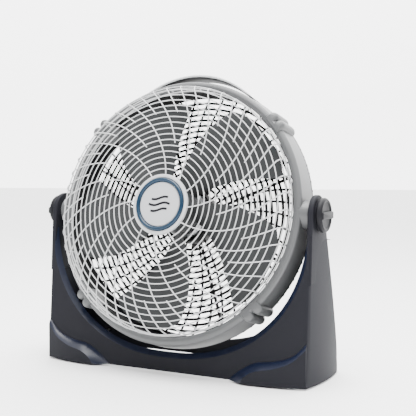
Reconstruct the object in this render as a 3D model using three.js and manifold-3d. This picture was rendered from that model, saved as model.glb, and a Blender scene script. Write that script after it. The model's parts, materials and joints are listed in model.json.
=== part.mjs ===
// A round floor fan: a head that tilts between the two arms of a U-shaped base.
// Millimetres, +Z up, the fan blows towards -Y, origin at the bottom centre of its box.
import * as THREE from 'three';
import { mergeVertices } from 'three/addons/utils/BufferGeometryUtils.js';
import Module from 'manifold-3d';

const wasm = await Module();
wasm.setup();

// ---- Driving dimensions ------------------------------------------------------------------

const GAP = 0.3;                  // air left between two pieces that touch
const RUNNING = 0.08;             // radial play of a turning fit

// Facets around a full turn
const LARGE = 48;
const GRILLE = 28;
const ROUND = 24;
const SMALL = 16;
const TINY = 8;

// Ring of the head; the head's own axis runs through the pivot
const headTilt = 13;              // degrees the face leans back at rest
const ringRear = 259;             // ring radius at its rear edge
const ringTaper = 4;              // the ring narrows by this to its front ridge
const ringFace = 16;              // width of its front face
const ringHalfDepth = 24;
const ringCrown = 4;              // front face bulges by this
const ringWall = 3;
const ringRidge = ringRear - ringTaper;
const ringLip = ringRidge - ringFace;
const bossRadius = 26;
const washerThickness = 2.2;
const washerRadius = 20;

// Base
const archBottom = 38;            // lowest point of the U opening
const archGap = 3;                // between the U opening and the ring
const archPower = 2.3;            // 2 is an ellipse, more is squarer
const armGap = 11;                // between the ring and each arm
const armPlate = 10;              // thickness of the arm at the tilt knob
const flankStep = 6;              // front corners stand this far outside the arms' inner faces
const sideBulge = 14;             // the side faces swell beyond the front corners at the floor
const sideBulgeTop = 4;           // and at the shoulders
const bellySwell = 1.45;          // middle of a side face, in bulges
const rearSwell = 0.65;           // its rear corner, in bulges
const rearCorner = 17;
const frontFootY = -60;           // front wall at the floor
const frontTopY = -40;            // front wall at pivot height
const rearFootY = 105;            // rear wall at the floor
const rearTopY = 32;              // rear wall at pivot height
const wall = 3;                   // moulded wall
const padHeight = 2.5;            // rubber feet
const padRadius = 14;
const padInset = 40;              // from the front corners to a pad's middle
const padPlate = 4;               // floor plate over each rubber foot
const plateDepth = 120;           // how far the arm plate reaches below the pivot
const shoulderDrop = 36;          // side shell ends this far below the pivot
const recessGap = 9;              // between a tilt knob and the scoop under it
const footStep = 17;              // front feet stand this far before the wall
const footLength = 149;           // from a front corner to where a foot starts
const footRamp = 34;              // a foot steps forward over this length
const footEnd = 80;               // height of a foot's wave at the front corner
const postRadius = 6;
const lowPost = [38, 36];         // screw post: inside the arm's inner face, above the floor
const highPost = [4, 150];
const pivotHeight = archBottom + archGap + ringRear;
const armInner = ringRear + armGap;
const armOuter = armInner + armPlate;
const baseHalfWidth = armInner + flankStep;
const footInner = baseHalfWidth - footLength;
const footFull = footInner + footRamp;

// Front grille
const domeRise = 56;              // grille front ahead of the ring
const shoulderRise = 33;          // where the side of the grille turns into its front
const domeSide = ringLip;
const domeFront = ringHalfDepth + domeRise;
const domeShoulder = ringHalfDepth + shoulderRise;
const hubRing = 56;               // centre ring of the front grille
const wire = 3;
const domeRings = [0.3, 0.54, 0.77];
const domeRibs = 8;
const swirl = 40;                 // degrees a rib turns from hub to rim
const badgeRadius = 50;
const badgeRim = 8;
const badgeDepth = 7;

// Handle
const handleRise = 19;            // grip top above the ring
const handleReach = 136;          // half width where it meets the ring
const handleGrip = 5;             // radial thickness of the grip
const gripHalfSlot = 112;         // half width of the finger slot
const handleFront = -4;
const handleOverhang = 10;        // behind the ring
const handleTop = ringRear + handleRise;
const handleRear = ringHalfDepth + handleOverhang;

// Clamps that hold the two grilles on the ring
const clampAngles = [49, 135, 225, 311];
const clampHump = 10;
const clampPitch = 21;
const clampRise = 4;              // body of a clamp above the ring
const clampHook = 4;              // front hook in front of the ring

// Rear shell
const shroudStep = 9;             // inside the ring's rear edge
const shroudInset = 9;            // its front edge lies this far behind the ring's front ridge
const skirtStep = 5;              // the skirt narrows by this
const skirtDepth = 20;            // behind the ring
const dishDepth = 14;             // middle of the rear grille behind its skirt
const rearFullness = 4;           // 2 is a round dish, more is flatter with steeper sides
const rearSteps = [143, 94, 45, 13];  // rims of the rear grille, in from the skirt
const rearStruts = 8;
const strutWidth = 6;
const shroudRadius = ringRear - shroudStep;
const shroudFront = ringHalfDepth - shroudInset;
const skirtRadius = shroudRadius - skirtStep;
const skirtRear = ringHalfDepth + skirtDepth;
const rearDepth = skirtRear + dishDepth;
const rearRims = rearSteps.map((step) => skirtRadius - step);

// Motor, seated in a cup in the middle of the rear grille
const shaftRadius = 4;
const motorRadius = 46;
const motorLength = 42;
const motorSink = 2;              // rear bell ahead of the cup's floor
const coreInset = 11;             // core behind the front bell's face
const coreLength = 20;
const coreRim = 2;                // bells outside the core
const rotorRadius = 22.5;
const airGap = 0.5;
const bellWall = 2.5;
const bearingWall = 4;
const bearingLength = 9;
const windingWidth = 9;
const windingHeight = 6;
const cupClearance = 7;           // cup wall outside the motor
const cupDepth = 34;
const cupRadius = motorRadius + cupClearance;
const cupFloor = rearDepth;
const cupBack = cupFloor + wall;
const cupFront = cupFloor - cupDepth;
const motorRear = cupFloor - motorSink;
const motorFront = motorRear - motorLength;
const coreFront = motorFront + coreInset;
const coreRear = coreFront + coreLength;
const coreRadius = motorRadius - coreRim;
const coreBore = rotorRadius + airGap;
const bearingRadius = shaftRadius + bearingWall;

// Impeller
const bladeCount = 5;
const tipGap = 26;                // between the blade tips and the shroud
const bladeSpan = 52;             // degrees that a blade covers at its widest
const bladePhase = 25;            // clock angle of the first blade's root at rest
const bladeSweep = 24;            // degrees its middle line leans from root to tip
const bladeRise = 36;             // axial height of a blade at its root
const bladeThickness = 3;
const hubRadius = 41;
const hubDepth = 44;
const hubGap = 6;                 // between the hub and the motor
const hubWall = 3.5;
const boreSleeve = 9;
const bladeTip = shroudRadius - tipGap;
const bladeRoot = hubRadius - 3;
const hubRear = motorFront - hubGap;
const hubFront = hubDepth - hubRear;

// Controls
const housingStep = 3;            // the control housing is narrower than the cup
const housingDepth = 28;          // behind the cup's floor
const stemRadius = 3;
const switchHalf = 13;
const knobHeight = 12;
const knobCap = 3.5;
const speedKnobRadius = 19;
const glandRadius = 7;
const glandBore = 3.6;
const housingRadius = cupRadius - housingStep;
const housingRear = cupFloor + housingDepth;
const knobFace = housingRear + knobHeight;

// Tilt knobs and their bolts
const knobRadius = 31;
const knobStep = 4;               // knob rim outside the arm
const knobLength = 11;
const knobCover = 5;              // knob face over the end of its bolt
const gripBar = 13;
const gripProud = 2;
const boltRadius = 4;
const boltClearance = 0.6;
const insertWall = 4;
const screwRadius = 2.2;
const screwHead = 4.2;
const screwHeadHeight = 2.6;
const knobInner = armOuter + knobStep;
const knobOuter = knobInner + knobLength;
const recessRadius = knobRadius + recessGap;
const insertRadius = boltRadius + insertWall;
const insertInner = shroudRadius + 1;

// ---- Materials ---------------------------------------------------------------------------

function material(color, roughness, metalness = 0) {
  return new THREE.MeshStandardMaterial({ color, roughness, metalness });
}
const charcoal = material(0x4a4b50, 0.5);
const knobGrey = material(0x45464b, 0.45);
const paleGrey = material(0xb9bbbd, 0.4);
const white = material(0xe4e5e6, 0.35);
const wireGrey = material(0xc9cbcd, 0.35);
const bladeGrey = material(0x6a6c6d, 0.45);
const black = material(0x17181a, 0.5);
const blue = material(0x2a5a78, 0.2);
const silver = material(0xd0d1d3, 0.35, 0.3);
const rubber = material(0x202123, 0.9);
const steel = material(0xb4b7ba, 0.35, 1);
const brass = material(0xb5944a, 0.35, 1);
const copper = material(0xb06a3a, 0.4, 0.9);
const laminate = material(0x6e7276, 0.55, 0.8);
const nylon = material(0xe8e6df, 0.6);
const alloy = material(0xa4a7aa, 0.45, 0.9);

// ---- Solids ------------------------------------------------------------------------------

function toSolid(geometry) {
  const bare = geometry.index ? geometry.toNonIndexed() : geometry.clone();
  bare.deleteAttribute('normal');
  bare.deleteAttribute('uv');
  const merged = mergeVertices(bare, 1e-4);
  const position = merged.attributes.position;
  const corners = [0, 1, 2].map(() => new THREE.Vector3());
  const triangles = [];
  let volume = 0;
  for (let i = 0; i < merged.index.count; i += 3) {
    const ids = [0, 1, 2].map((k) => merged.index.getX(i + k));
    if (new Set(ids).size < 3) continue;
    triangles.push(ids);
    ids.forEach((id, k) => corners[k].fromBufferAttribute(position, id));
    volume += corners[0].dot(corners[1].clone().cross(corners[2]));
  }
  const outward = volume > 0 ? triangles : triangles.map(([a, b, c]) => [a, c, b]);
  return new wasm.Manifold(new wasm.Mesh({
    numProp: 3,
    vertProperties: new Float32Array(position.array),
    triVerts: new Uint32Array(outward.flat()),
  }));
}

function toGeometry(solid) {
  const { vertProperties, triVerts } = solid.getMesh();
  const geometry = new THREE.BufferGeometry();
  geometry.setAttribute('position', new THREE.BufferAttribute(vertProperties, 3));
  geometry.setIndex(new THREE.BufferAttribute(triVerts, 1));
  geometry.computeVertexNormals();
  return geometry;
}

function union(parts) {
  return parts.reduce((all, part) => all.add(part));
}

// A closed profile of [radius, along] turned about one axis of the frame.
function turned(profile, segments, axis = 'y') {
  const points = profile.map(([r, a]) => new THREE.Vector2(r, a));
  const open = points[0].distanceTo(points.at(-1)) > 1e-6 && points.some((p) => p.x > 1e-6);
  const onAxis = points[0].x < 1e-6 && points.at(-1).x < 1e-6;
  if (open && !onAxis) points.push(points[0].clone());
  const geometry = new THREE.LatheGeometry(points, segments);
  if (axis === 'x') geometry.rotateZ(-Math.PI / 2);
  if (axis === 'z') geometry.rotateX(Math.PI / 2);
  return toSolid(geometry);
}

function disc(radius, from, to, segments, axis = 'y') {
  return turned([[0, from], [radius, from], [radius, to], [0, to]], segments, axis);
}

function tube(inner, outer, from, to, segments, axis = 'y') {
  return turned([[inner, from], [outer, from], [outer, to], [inner, to]], segments, axis);
}

// Shapes drawn in the front view (x, z), the side view (y, z) or the plan (x, y).
function frontPrism(shape, y0, y1, curveSegments = 24) {
  const geometry = new THREE.ExtrudeGeometry(
    shape, { depth: y1 - y0, bevelEnabled: false, curveSegments });
  geometry.rotateX(Math.PI / 2).translate(0, y1, 0);
  return toSolid(geometry);
}

function sidePrism(shape, x0, x1, curveSegments = 12) {
  const geometry = new THREE.ExtrudeGeometry(
    shape, { depth: x1 - x0, bevelEnabled: false, curveSegments });
  const basis = new THREE.Matrix4().makeBasis(
    new THREE.Vector3(0, 1, 0), new THREE.Vector3(0, 0, 1), new THREE.Vector3(1, 0, 0));
  geometry.applyMatrix4(basis).translate(x0, 0, 0);
  return toSolid(geometry);
}

function planPrism(shape, z0, z1, curveSegments = 5) {
  const geometry = new THREE.ExtrudeGeometry(
    shape, { depth: z1 - z0, bevelEnabled: false, curveSegments });
  geometry.translate(0, 0, z0);
  return toSolid(geometry);
}

function polygon(points) {
  return new THREE.Shape(points.map(([x, y]) => new THREE.Vector2(x, y)));
}

function block(x0, x1, y0, y1, z0, z1) {
  const geometry = new THREE.BoxGeometry(x1 - x0, y1 - y0, z1 - z0);
  geometry.translate((x0 + x1) / 2, (y0 + y1) / 2, (z0 + z1) / 2);
  return toSolid(geometry);
}

function swept(points, width, height, steps) {
  const section = polygon([
    [-width / 2, -height / 2], [width / 2, -height / 2],
    [width / 2, height / 2], [-width / 2, height / 2],
  ]);
  const path = new THREE.CatmullRomCurve3(points);
  return toSolid(new THREE.ExtrudeGeometry(
    section, { steps, bevelEnabled: false, extrudePath: path }));
}

const armTopRadius = (rearTopY - frontTopY) / 2;
const pivotY = (rearTopY + frontTopY) / 2;

const fan = new THREE.Group();
const head = new THREE.Group();
head.position.set(0, pivotY, pivotHeight);
head.rotation.x = -THREE.MathUtils.degToRad(headTilt);
fan.add(head);

function add(group, name, solid, finish) {
  const mesh = new THREE.Mesh(toGeometry(solid), finish);
  mesh.name = name;
  group.add(mesh);
}

const sides = [['left', -1], ['right', 1]];

// ---- Base --------------------------------------------------------------------------------

const floorZ = padHeight + GAP;
const farOut = baseHalfWidth + 2 * sideBulge;

// The plan of the side walls, moved in by the wall for the hollow.
function planOutline(inset, bulge) {
  const corner = rearCorner;
  const edge = baseHalfWidth - inset;
  const belly = edge + bellySwell * bulge;
  const rearSide = edge + rearSwell * bulge;
  const front = frontFootY - footStep - 10;
  const rear = rearFootY - inset;
  const shape = new THREE.Shape();
  shape.moveTo(-edge, front);
  shape.lineTo(edge, front);
  shape.lineTo(edge, frontFootY);
  shape.quadraticCurveTo(belly, rear / 4, rearSide, rear - corner);
  shape.quadraticCurveTo(rearSide - 3, rear, rearSide - corner, rear);
  shape.lineTo(-rearSide + corner, rear);
  shape.quadraticCurveTo(-rearSide + 3, rear, -rearSide, rear - corner);
  shape.quadraticCurveTo(-belly, rear / 4, -edge, frontFootY);
  return shape;
}

// The side view: leaning front and rear walls under a round arm top.
function sideOutline(inset, bottom) {
  const radius = armTopRadius - inset;
  const frontLean = (frontTopY - frontFootY) / pivotHeight;
  const rearLean = (rearFootY - rearTopY) / pivotHeight;
  const frontBottom = frontFootY + inset + frontLean * bottom;
  const rearBottom = rearFootY - inset - rearLean * bottom;
  const shape = new THREE.Shape();
  shape.moveTo(rearBottom, bottom);
  shape.lineTo(pivotY + radius, pivotHeight);
  shape.absarc(pivotY, pivotHeight, radius, 0, Math.PI, false);
  shape.lineTo(frontBottom, bottom);
  return shape;
}

// Side walls that lean in: the plan at the floor joined to the plan at the top.
function sideWalls(inset, bottom, top) {
  const share = (top - bottom) / (pivotHeight - shoulderDrop);
  const topBulge = sideBulge + (sideBulgeTop - sideBulge) * share;
  const depth = top - bottom;
  const options = { depth, bevelEnabled: false, curveSegments: 5 };
  const walls = new THREE.ExtrudeGeometry(planOutline(inset, sideBulge), options);
  const lid = new THREE.ExtrudeGeometry(planOutline(inset, topBulge), options);
  const position = walls.attributes.position;
  for (let i = 0; i < position.count; i += 1) {
    if (position.getZ(i) > depth / 2) {
      position.setXY(i, lid.attributes.position.getX(i), lid.attributes.position.getY(i));
    }
  }
  return toSolid(walls.translate(0, 0, bottom));
}

function envelope(inset, bottom) {
  const top = pivotHeight + armTopRadius + 10;
  return sideWalls(inset, bottom, top)
    .intersect(sidePrism(sideOutline(inset, bottom), -farOut, farOut));
}

// The U opening that the head swings in.
function archOpening() {
  const half = armInner;
  const drop = pivotHeight - archBottom;
  const steps = 26;
  const points = [[half, pivotHeight + 100]];
  for (let i = 0; i <= steps; i += 1) {
    const angle = (i / steps) * Math.PI;
    const c = Math.cos(angle);
    const s = Math.sin(angle);
    const x = half * Math.sign(c) * Math.abs(c) ** (2 / archPower);
    const z = pivotHeight - drop * s ** (2 / archPower);
    points.push([x, z]);
  }
  points.push([-half, pivotHeight + 100]);
  return frontPrism(polygon(points), frontFootY - footStep - 20, rearFootY + 20);
}

// One front foot: the plan of its step, cut off along a wave.
function frontFoot(side) {
  const stepY = frontFootY - footStep;
  const back = frontFootY + wall + 4;
  const plan = new THREE.Shape();
  plan.moveTo(side * footInner, frontFootY + 1);
  plan.lineTo(side * footFull, stepY);
  plan.quadraticCurveTo(
    side * (footFull + 65), stepY - 2, side * (baseHalfWidth - 0.5), frontFootY + 1);
  plan.lineTo(side * (baseHalfWidth - 2), back);
  plan.lineTo(side * footInner, back);
  const wave = new THREE.Shape();
  wave.moveTo(side * footInner, floorZ);
  wave.quadraticCurveTo(side * (footFull - 8), 34, side * (footFull + 32), 34);
  wave.bezierCurveTo(
    side * (footFull + 72), 36, side * (baseHalfWidth - 24), 58, side * (baseHalfWidth + 1), footEnd);
  wave.lineTo(side * (baseHalfWidth + 1), floorZ);
  return planPrism(plan, floorZ, 1.5 * footEnd)
    .intersect(frontPrism(wave, stepY - 20, back + 10, 4));
}

const rearLean = (rearFootY - rearTopY) / pivotHeight;
function rearWallY(z) {
  return rearFootY - rearLean * z;
}

// Everything behind a plane that runs beside the rear wall.
function behindRearWall(offset) {
  const top = pivotHeight + 100;
  return sidePrism(polygon([
    [rearWallY(-20) - offset, -20], [rearFootY + 60, -20],
    [rearFootY + 60, top], [rearWallY(top) - offset, top],
  ]), -farOut - 5, farOut + 5);
}

const padX = baseHalfWidth - padInset;
const padSpots = [
  ['front_left', -padX, frontFootY + 20], ['front_right', padX, frontFootY + 20],
  ['rear_left', -padX, rearFootY - 26], ['rear_right', padX, rearFootY - 26],
];
const postSpots = [lowPost, highPost].flatMap(
  ([inset, z]) => [[inset - armInner, z], [armInner - inset, z]]);

function makeBase() {
  const outer = envelope(0, floorZ);
  const hollow = envelope(wall, floorZ - 1);
  const aboveShoulder = pivotHeight - shoulderDrop;
  const top = pivotHeight + armTopRadius + 20;
  const opening = archOpening();

  let shell = outer.subtract(hollow);
  for (const [, side] of sides) {
    const inner = side * armInner;
    const outerFace = side * armOuter;
    const slab = block(
      Math.min(inner, outerFace), Math.max(inner, outerFace),
      frontFootY, rearFootY, pivotHeight - plateDepth, top);
    shell = shell.add(slab.intersect(outer));
    shell = shell.add(frontFoot(side));
  }
  for (const [, x, y] of padSpots) {
    const plate = block(
      x - padRadius - 8, x + padRadius + 8, y - padRadius - 6, y + padRadius + 6,
      floorZ, floorZ + padPlate);
    shell = shell.add(plate.intersect(outer));
    const rib = block(x - 2, x + 2, frontFootY, rearFootY, floorZ, floorZ + padPlate + 14);
    shell = shell.add(rib.intersect(outer));
  }
  for (const [x, z] of postSpots) {
    const post = disc(postRadius, frontFootY - 5, rearFootY, TINY).translate(x, 0, z);
    shell = shell.add(post.intersect(outer));
  }

  let panel = outer.intersect(behindRearWall(wall));
  shell = shell.subtract(behindRearWall(wall + GAP));

  for (const [, side] of sides) {
    const x0 = side > 0 ? armOuter : -farOut - 5;
    const x1 = side > 0 ? farOut + 5 : -armOuter;
    const clear = block(x0, x1, frontFootY - 5, rearFootY + 5, aboveShoulder, top);
    const scoop = disc(recessRadius, x0, x1, ROUND, 'x').translate(0, pivotY, pivotHeight);
    const bore = disc(boltRadius + boltClearance, x0 - 40, x1 + 40, SMALL, 'x')
      .translate(0, pivotY, pivotHeight);
    shell = shell.subtract(clear).subtract(scoop).subtract(bore);
    panel = panel.subtract(clear).subtract(scoop);
  }
  shell = shell.subtract(opening);
  panel = panel.subtract(opening);

  for (const [x, z] of postSpots) {
    const y = rearWallY(z);
    const hole = disc(screwRadius + GAP, y - 30, y + 10, TINY).translate(x, 0, z);
    shell = shell.subtract(hole);
    panel = panel.subtract(hole);
  }
  add(fan, 'base_shell', shell, charcoal);
  add(fan, 'base_rear_panel', panel, charcoal);

  for (const [name, x, y] of padSpots) {
    const pad = turned([
      [0, 0], [padRadius - 2, 0], [padRadius, 2], [padRadius, padHeight], [0, padHeight],
    ], SMALL, 'z').translate(x, y, 0);
    add(fan, `foot_pad_${name}`, pad, rubber);
  }
  postSpots.forEach(([x, z], i) => {
    const y = rearWallY(z - screwHead) + GAP + 0.4;
    add(fan, `panel_screw_${i + 1}`, screw(24).translate(x, y, z), steel);
  });
}

// A screw along y: its head sits at y = 0 and above, its shank reaches towards -y.
function screw(length) {
  return turned([
    [0, -length], [screwRadius - 1, -length], [screwRadius, -length + 3], [screwRadius, 0],
    [screwHead, 0], [screwHead, screwHeadHeight - 1], [screwHead - 1.2, screwHeadHeight],
    [0, screwHeadHeight],
  ], TINY);
}

// ---- Ring, handle and clamps -------------------------------------------------------------

const bossFace = armInner - GAP - washerThickness - GAP;

// Outer skin of the ring in the head frame; y runs to the rear.
function ringSkin(grow) {
  const d = ringHalfDepth;
  return [
    [ringLip - grow, -d - grow], [(ringLip + ringRidge) / 2, -d - ringCrown - grow],
    [ringRidge + grow / 2, -d - grow], [ringRear + grow, d + grow],
  ];
}

function makeRing() {
  const d = ringHalfDepth;
  const middle = (ringLip + ringRidge) / 2;
  const profile = [
    ...ringSkin(0), [ringRear - ringWall, d], [ringRidge - ringWall, -d + ringWall],
    [middle, -d - ringCrown + ringWall], [ringLip + ringWall - 0.5, -d + ringWall],
    [ringLip, -d + ringWall],
  ];
  let ring = turned(profile, LARGE);
  for (const [, side] of sides) {
    const from = Math.min(side * (shroudRadius + 4), side * bossFace);
    const to = Math.max(side * (shroudRadius + 4), side * bossFace);
    const inside = disc(shroudRadius + 1.5, -80, 80, LARGE)
      .add(disc(ringRear + 1, d, d + 20, LARGE));
    ring = ring.add(disc(bossRadius, from, to, ROUND, 'x').subtract(inside));
    const bore = disc(insertRadius + GAP, from - 20, to + 20, SMALL, 'x');
    ring = ring.subtract(bore);
  }
  add(head, 'head_ring', ring, paleGrey);
}

function makeHandle() {
  const meetZ = Math.sqrt(ringRear ** 2 - handleReach ** 2) - 2;
  const sagitta = handleTop - meetZ;
  const arcRadius = (handleReach ** 2 + sagitta ** 2) / (2 * sagitta);
  const centreZ = handleTop - arcRadius;
  const half = Math.asin(handleReach / arcRadius);
  const outline = new THREE.Shape();
  outline.absarc(0, centreZ, arcRadius, Math.PI / 2 - half, Math.PI / 2 + half, false);
  outline.lineTo(-handleReach, ringLip * 0.8);
  outline.lineTo(handleReach, ringLip * 0.8);
  const slotTop = arcRadius - handleGrip;
  const slotHalf = Math.asin(gripHalfSlot / slotTop);
  const slot = new THREE.Shape();
  slot.absarc(0, centreZ, slotTop, Math.PI / 2 - slotHalf, Math.PI / 2 + slotHalf, false);
  slot.lineTo(-gripHalfSlot, ringLip * 0.7);
  slot.lineTo(gripHalfSlot, ringLip * 0.7);
  const grip = frontPrism(outline, handleFront, handleRear, 12)
    .subtract(frontPrism(slot, handleFront - 1, handleRear + 1, 12));
  const skin = ringSkin(GAP);
  const rear = handleRear + 5;
  const filled = turned([[0, skin[0][1]], ...skin, [skin[3][0], rear], [0, rear]], LARGE);
  add(head, 'carry_handle', grip.subtract(filled), white);
}

function makeClamps() {
  const d = ringHalfDepth;
  const skin = ringSkin(GAP);
  const rear = d + GAP + wall + GAP;
  const core = turned([
    [0, skin[0][1]], ...skin, [skin[3][0], rear], [0, rear],
  ], LARGE);
  const inner = ringLip + 5;
  const base = ringRear + clampRise - clampHump / 2;
  clampAngles.forEach((degrees, i) => {
    const plate = new THREE.Shape();
    const halfWidth = clampPitch / 2 + clampHump;
    plate.moveTo(-halfWidth, inner);
    plate.lineTo(halfWidth, inner);
    plate.lineTo(halfWidth, base);
    plate.absarc(clampPitch / 2, base, clampHump, 0, Math.PI, false);
    plate.absarc(-clampPitch / 2, base, clampHump, 0, Math.PI, false);
    const body = frontPrism(plate, -d - ringCrown - clampHook, rear + 3, 4)
      .rotate([0, degrees, 0]);
    const bored = body.subtract(core).subtract(disc(ringLip + 4, -80, 80, LARGE))
      .subtract(disc(shroudRadius + 1.5, d, rear + 10, LARGE));
    add(head, `rim_clamp_${i + 1}`, bored, paleGrey);
  });
}

// ---- Front grille and badge --------------------------------------------------------------

const domeRim = ringLip - 1.2;
const domeCurve = new THREE.SplineCurve([
  new THREE.Vector2(domeRim - wire / 2, ringHalfDepth - 4),
  new THREE.Vector2(domeRim - wire / 2, ringHalfDepth + ringCrown + 3),
  new THREE.Vector2(domeSide - wire / 2, ringHalfDepth + 22),
  new THREE.Vector2(domeSide - 4, domeShoulder),
  new THREE.Vector2(domeSide - 14, domeShoulder + 10),
  new THREE.Vector2(domeSide - 50, domeFront - 5),
  new THREE.Vector2((domeSide + hubRing) / 2 - 25, domeFront),
  new THREE.Vector2(hubRing, domeFront),
]);

// A point of the dome: t runs from the rim to the hub ring, and ribs turn as they run in.
function onDome(t, degrees) {
  const { x: radius, y: ahead } = domeCurve.getPoint(t);
  const turn = THREE.MathUtils.degToRad(degrees + swirl * (1 - radius / domeSide));
  return new THREE.Vector3(radius * Math.sin(turn), -ahead, radius * Math.cos(turn));
}

function makeFrontGrille() {
  const h = wire / 2;
  const parts = [
    tube(domeRim - wire, domeRim, -ringHalfDepth - 1, -ringHalfDepth + 6, LARGE),
    turned([
      [badgeRadius + GAP, -domeFront - h - 1], [hubRing + h, -domeFront - h - 1],
      [hubRing + h, -domeFront + h + 2], [badgeRadius - 12, -domeFront + h + 2],
      [badgeRadius - 12, -domeFront + h], [badgeRadius + GAP, -domeFront + h],
    ], GRILLE),
  ];
  for (const t of domeRings) {
    const { x, y } = domeCurve.getPoint(t);
    parts.push(tube(x - h, x + h, -y - h, -y + h, GRILLE));
  }
  for (let i = 0; i < domeRibs; i += 1) {
    const turn = (i * 360) / domeRibs;
    const points = [0, 0.16, ...domeRings, 1].flatMap((t, k, all) => (
      k > 1 ? [onDome((t + all[k - 1]) / 2, turn), onDome(t, turn)] : [onDome(t, turn)]));
    parts.push(swept(points, wire, wire, 12));
  }
  add(head, 'front_grille', union(parts), wireGrey);
}

function makeBadge() {
  const back = -domeFront + wire / 2 - GAP;
  const front = back - badgeDepth;
  const inner = badgeRadius - badgeRim;
  const rim = turned([
    [inner, back], [badgeRadius, back], [badgeRadius, front + 3], [badgeRadius - 3, front],
    [inner + 2, front + 1.5], [inner, front + 3.5],
  ], GRILLE);
  const face = disc(inner - GAP, front + 3, back, GRILLE);
  add(head, 'badge_rim', rim, blue);
  add(head, 'badge_disc', face, silver);
}

// ---- Rear grille -------------------------------------------------------------------------

function rearGrilleY(radius) {
  const share = Math.min(1, (radius - cupRadius) / (skirtRadius - cupRadius));
  const rise = (1 - share ** rearFullness) ** (1 / rearFullness);
  const rimDepth = skirtRear - 3;
  return rimDepth + (rearDepth - rimDepth) * rise;
}

function makeRearGrille() {
  const flangeFront = ringHalfDepth + GAP;
  const flangeRear = flangeFront + wall;
  const parts = [
    turned([
      [shroudRadius - 2.5, -shroudFront], [shroudRadius, -shroudFront],
      [shroudRadius, flangeFront], [ringRear, flangeFront], [ringRear, flangeRear],
      [shroudRadius, flangeRear], [skirtRadius, skirtRear], [skirtRadius - 2.5, skirtRear],
      [shroudRadius - 2.5, flangeRear],
    ], LARGE),
    turned([
      [cupRadius - wall, cupFront], [cupRadius, cupFront], [cupRadius, cupBack],
      [0, cupBack], [0, cupFloor], [cupRadius - wall, cupFloor],
    ], ROUND),
  ];
  for (const radius of rearRims) {
    const y = rearGrilleY(radius);
    parts.push(tube(radius - 1.5, radius + 1.5, y - 2, y + 2, GRILLE));
  }
  for (let i = 0; i < rearStruts; i += 1) {
    const angle = (i + 0.5) * (2 * Math.PI / rearStruts);
    const reach = [cupRadius - 1.5, ...rearRims].map((r) => [r, rearGrilleY(r)]);
    reach.push([skirtRadius - 1.5, skirtRear - 3]);
    const points = reach.map(([r, y]) => new THREE.Vector3(
      r * Math.sin(angle), y, r * Math.cos(angle)));
    parts.push(swept(points, strutWidth, strutWidth - 1, 10));
  }
  let grille = union(parts);
  const throughShaft = disc(bearingRadius + 2, cupFloor - 2, cupFloor + 6, SMALL);
  grille = grille.subtract(throughShaft);
  for (const [x, z] of motorScrewSpots) {
    const hole = disc(screwRadius + GAP, cupFloor - 4, cupFloor + 8, TINY);
    grille = grille.subtract(hole.translate(x, 0, z));
  }
  add(head, 'rear_grille', grille, black);
}

// ---- Impeller ----------------------------------------------------------------------------

// One blade: a flat plate of unit sides, bent onto a twisted sector.
function blade(index) {
  const across = 4;
  const along = 5;
  const plate = new THREE.BoxGeometry(1, 1, 1, along, across, 1);
  const position = plate.attributes.position;
  for (let i = 0; i < position.count; i += 1) {
    const u = position.getX(i) + 0.5;
    const v = position.getY(i);
    const w = position.getZ(i);
    const radius = bladeRoot + (bladeTip - bladeRoot) * (u - 0.06 * u * (2 * v) ** 4);
    const width = bladeSpan * (0.72 + 0.56 * u - 0.42 * u * u);
    const degrees = bladePhase + index * (360 / bladeCount) + bladeSweep * u + width * v;
    const angle = THREE.MathUtils.degToRad(degrees);
    const rise = bladeRise * (1 - 0.25 * u);
    const axial = (hubRear - hubFront) / 2 + rise * v + 6 * u * (2 * v) ** 2 + w * bladeThickness;
    position.setXYZ(i, radius * Math.sin(angle), axial, radius * Math.cos(angle));
  }
  return toSolid(plate);
}

function makeImpeller() {
  const hub = turned([
    [boreRadius, -hubFront], [hubRadius - 8, -hubFront], [hubRadius, -hubFront + 8],
    [hubRadius, hubRear], [hubRadius - hubWall, hubRear],
    [hubRadius - hubWall, -hubFront + 10], [hubRadius - 10, -hubFront + hubWall],
    [boreSleeve, -hubFront + hubWall], [boreSleeve, hubRear], [boreRadius, hubRear],
  ], ROUND);
  const inside = disc(hubRadius - hubWall + 0.5, -hubFront - 5, hubRear + 30, ROUND);
  const parts = [hub];
  for (let i = 0; i < bladeCount; i += 1) {
    parts.push(blade(i).subtract(inside));
  }
  add(head, 'impeller', union(parts), bladeGrey);

  const nutFace = -hubFront - GAP;
  const nut = turned([
    [boreRadius, nutFace], [15, nutFace], [15, nutFace - 4], [10, nutFace - 9],
    [boreRadius, nutFace - 9],
  ], SMALL);
  add(head, 'impeller_nut', nut, black);
}

// ---- Motor -------------------------------------------------------------------------------

const boreRadius = shaftRadius + GAP;
const motorScrewSpots = [45, 135, 225, 315].map((degrees) => {
  const angle = THREE.MathUtils.degToRad(degrees);
  return [30 * Math.cos(angle), 30 * Math.sin(angle)];
});

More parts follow.
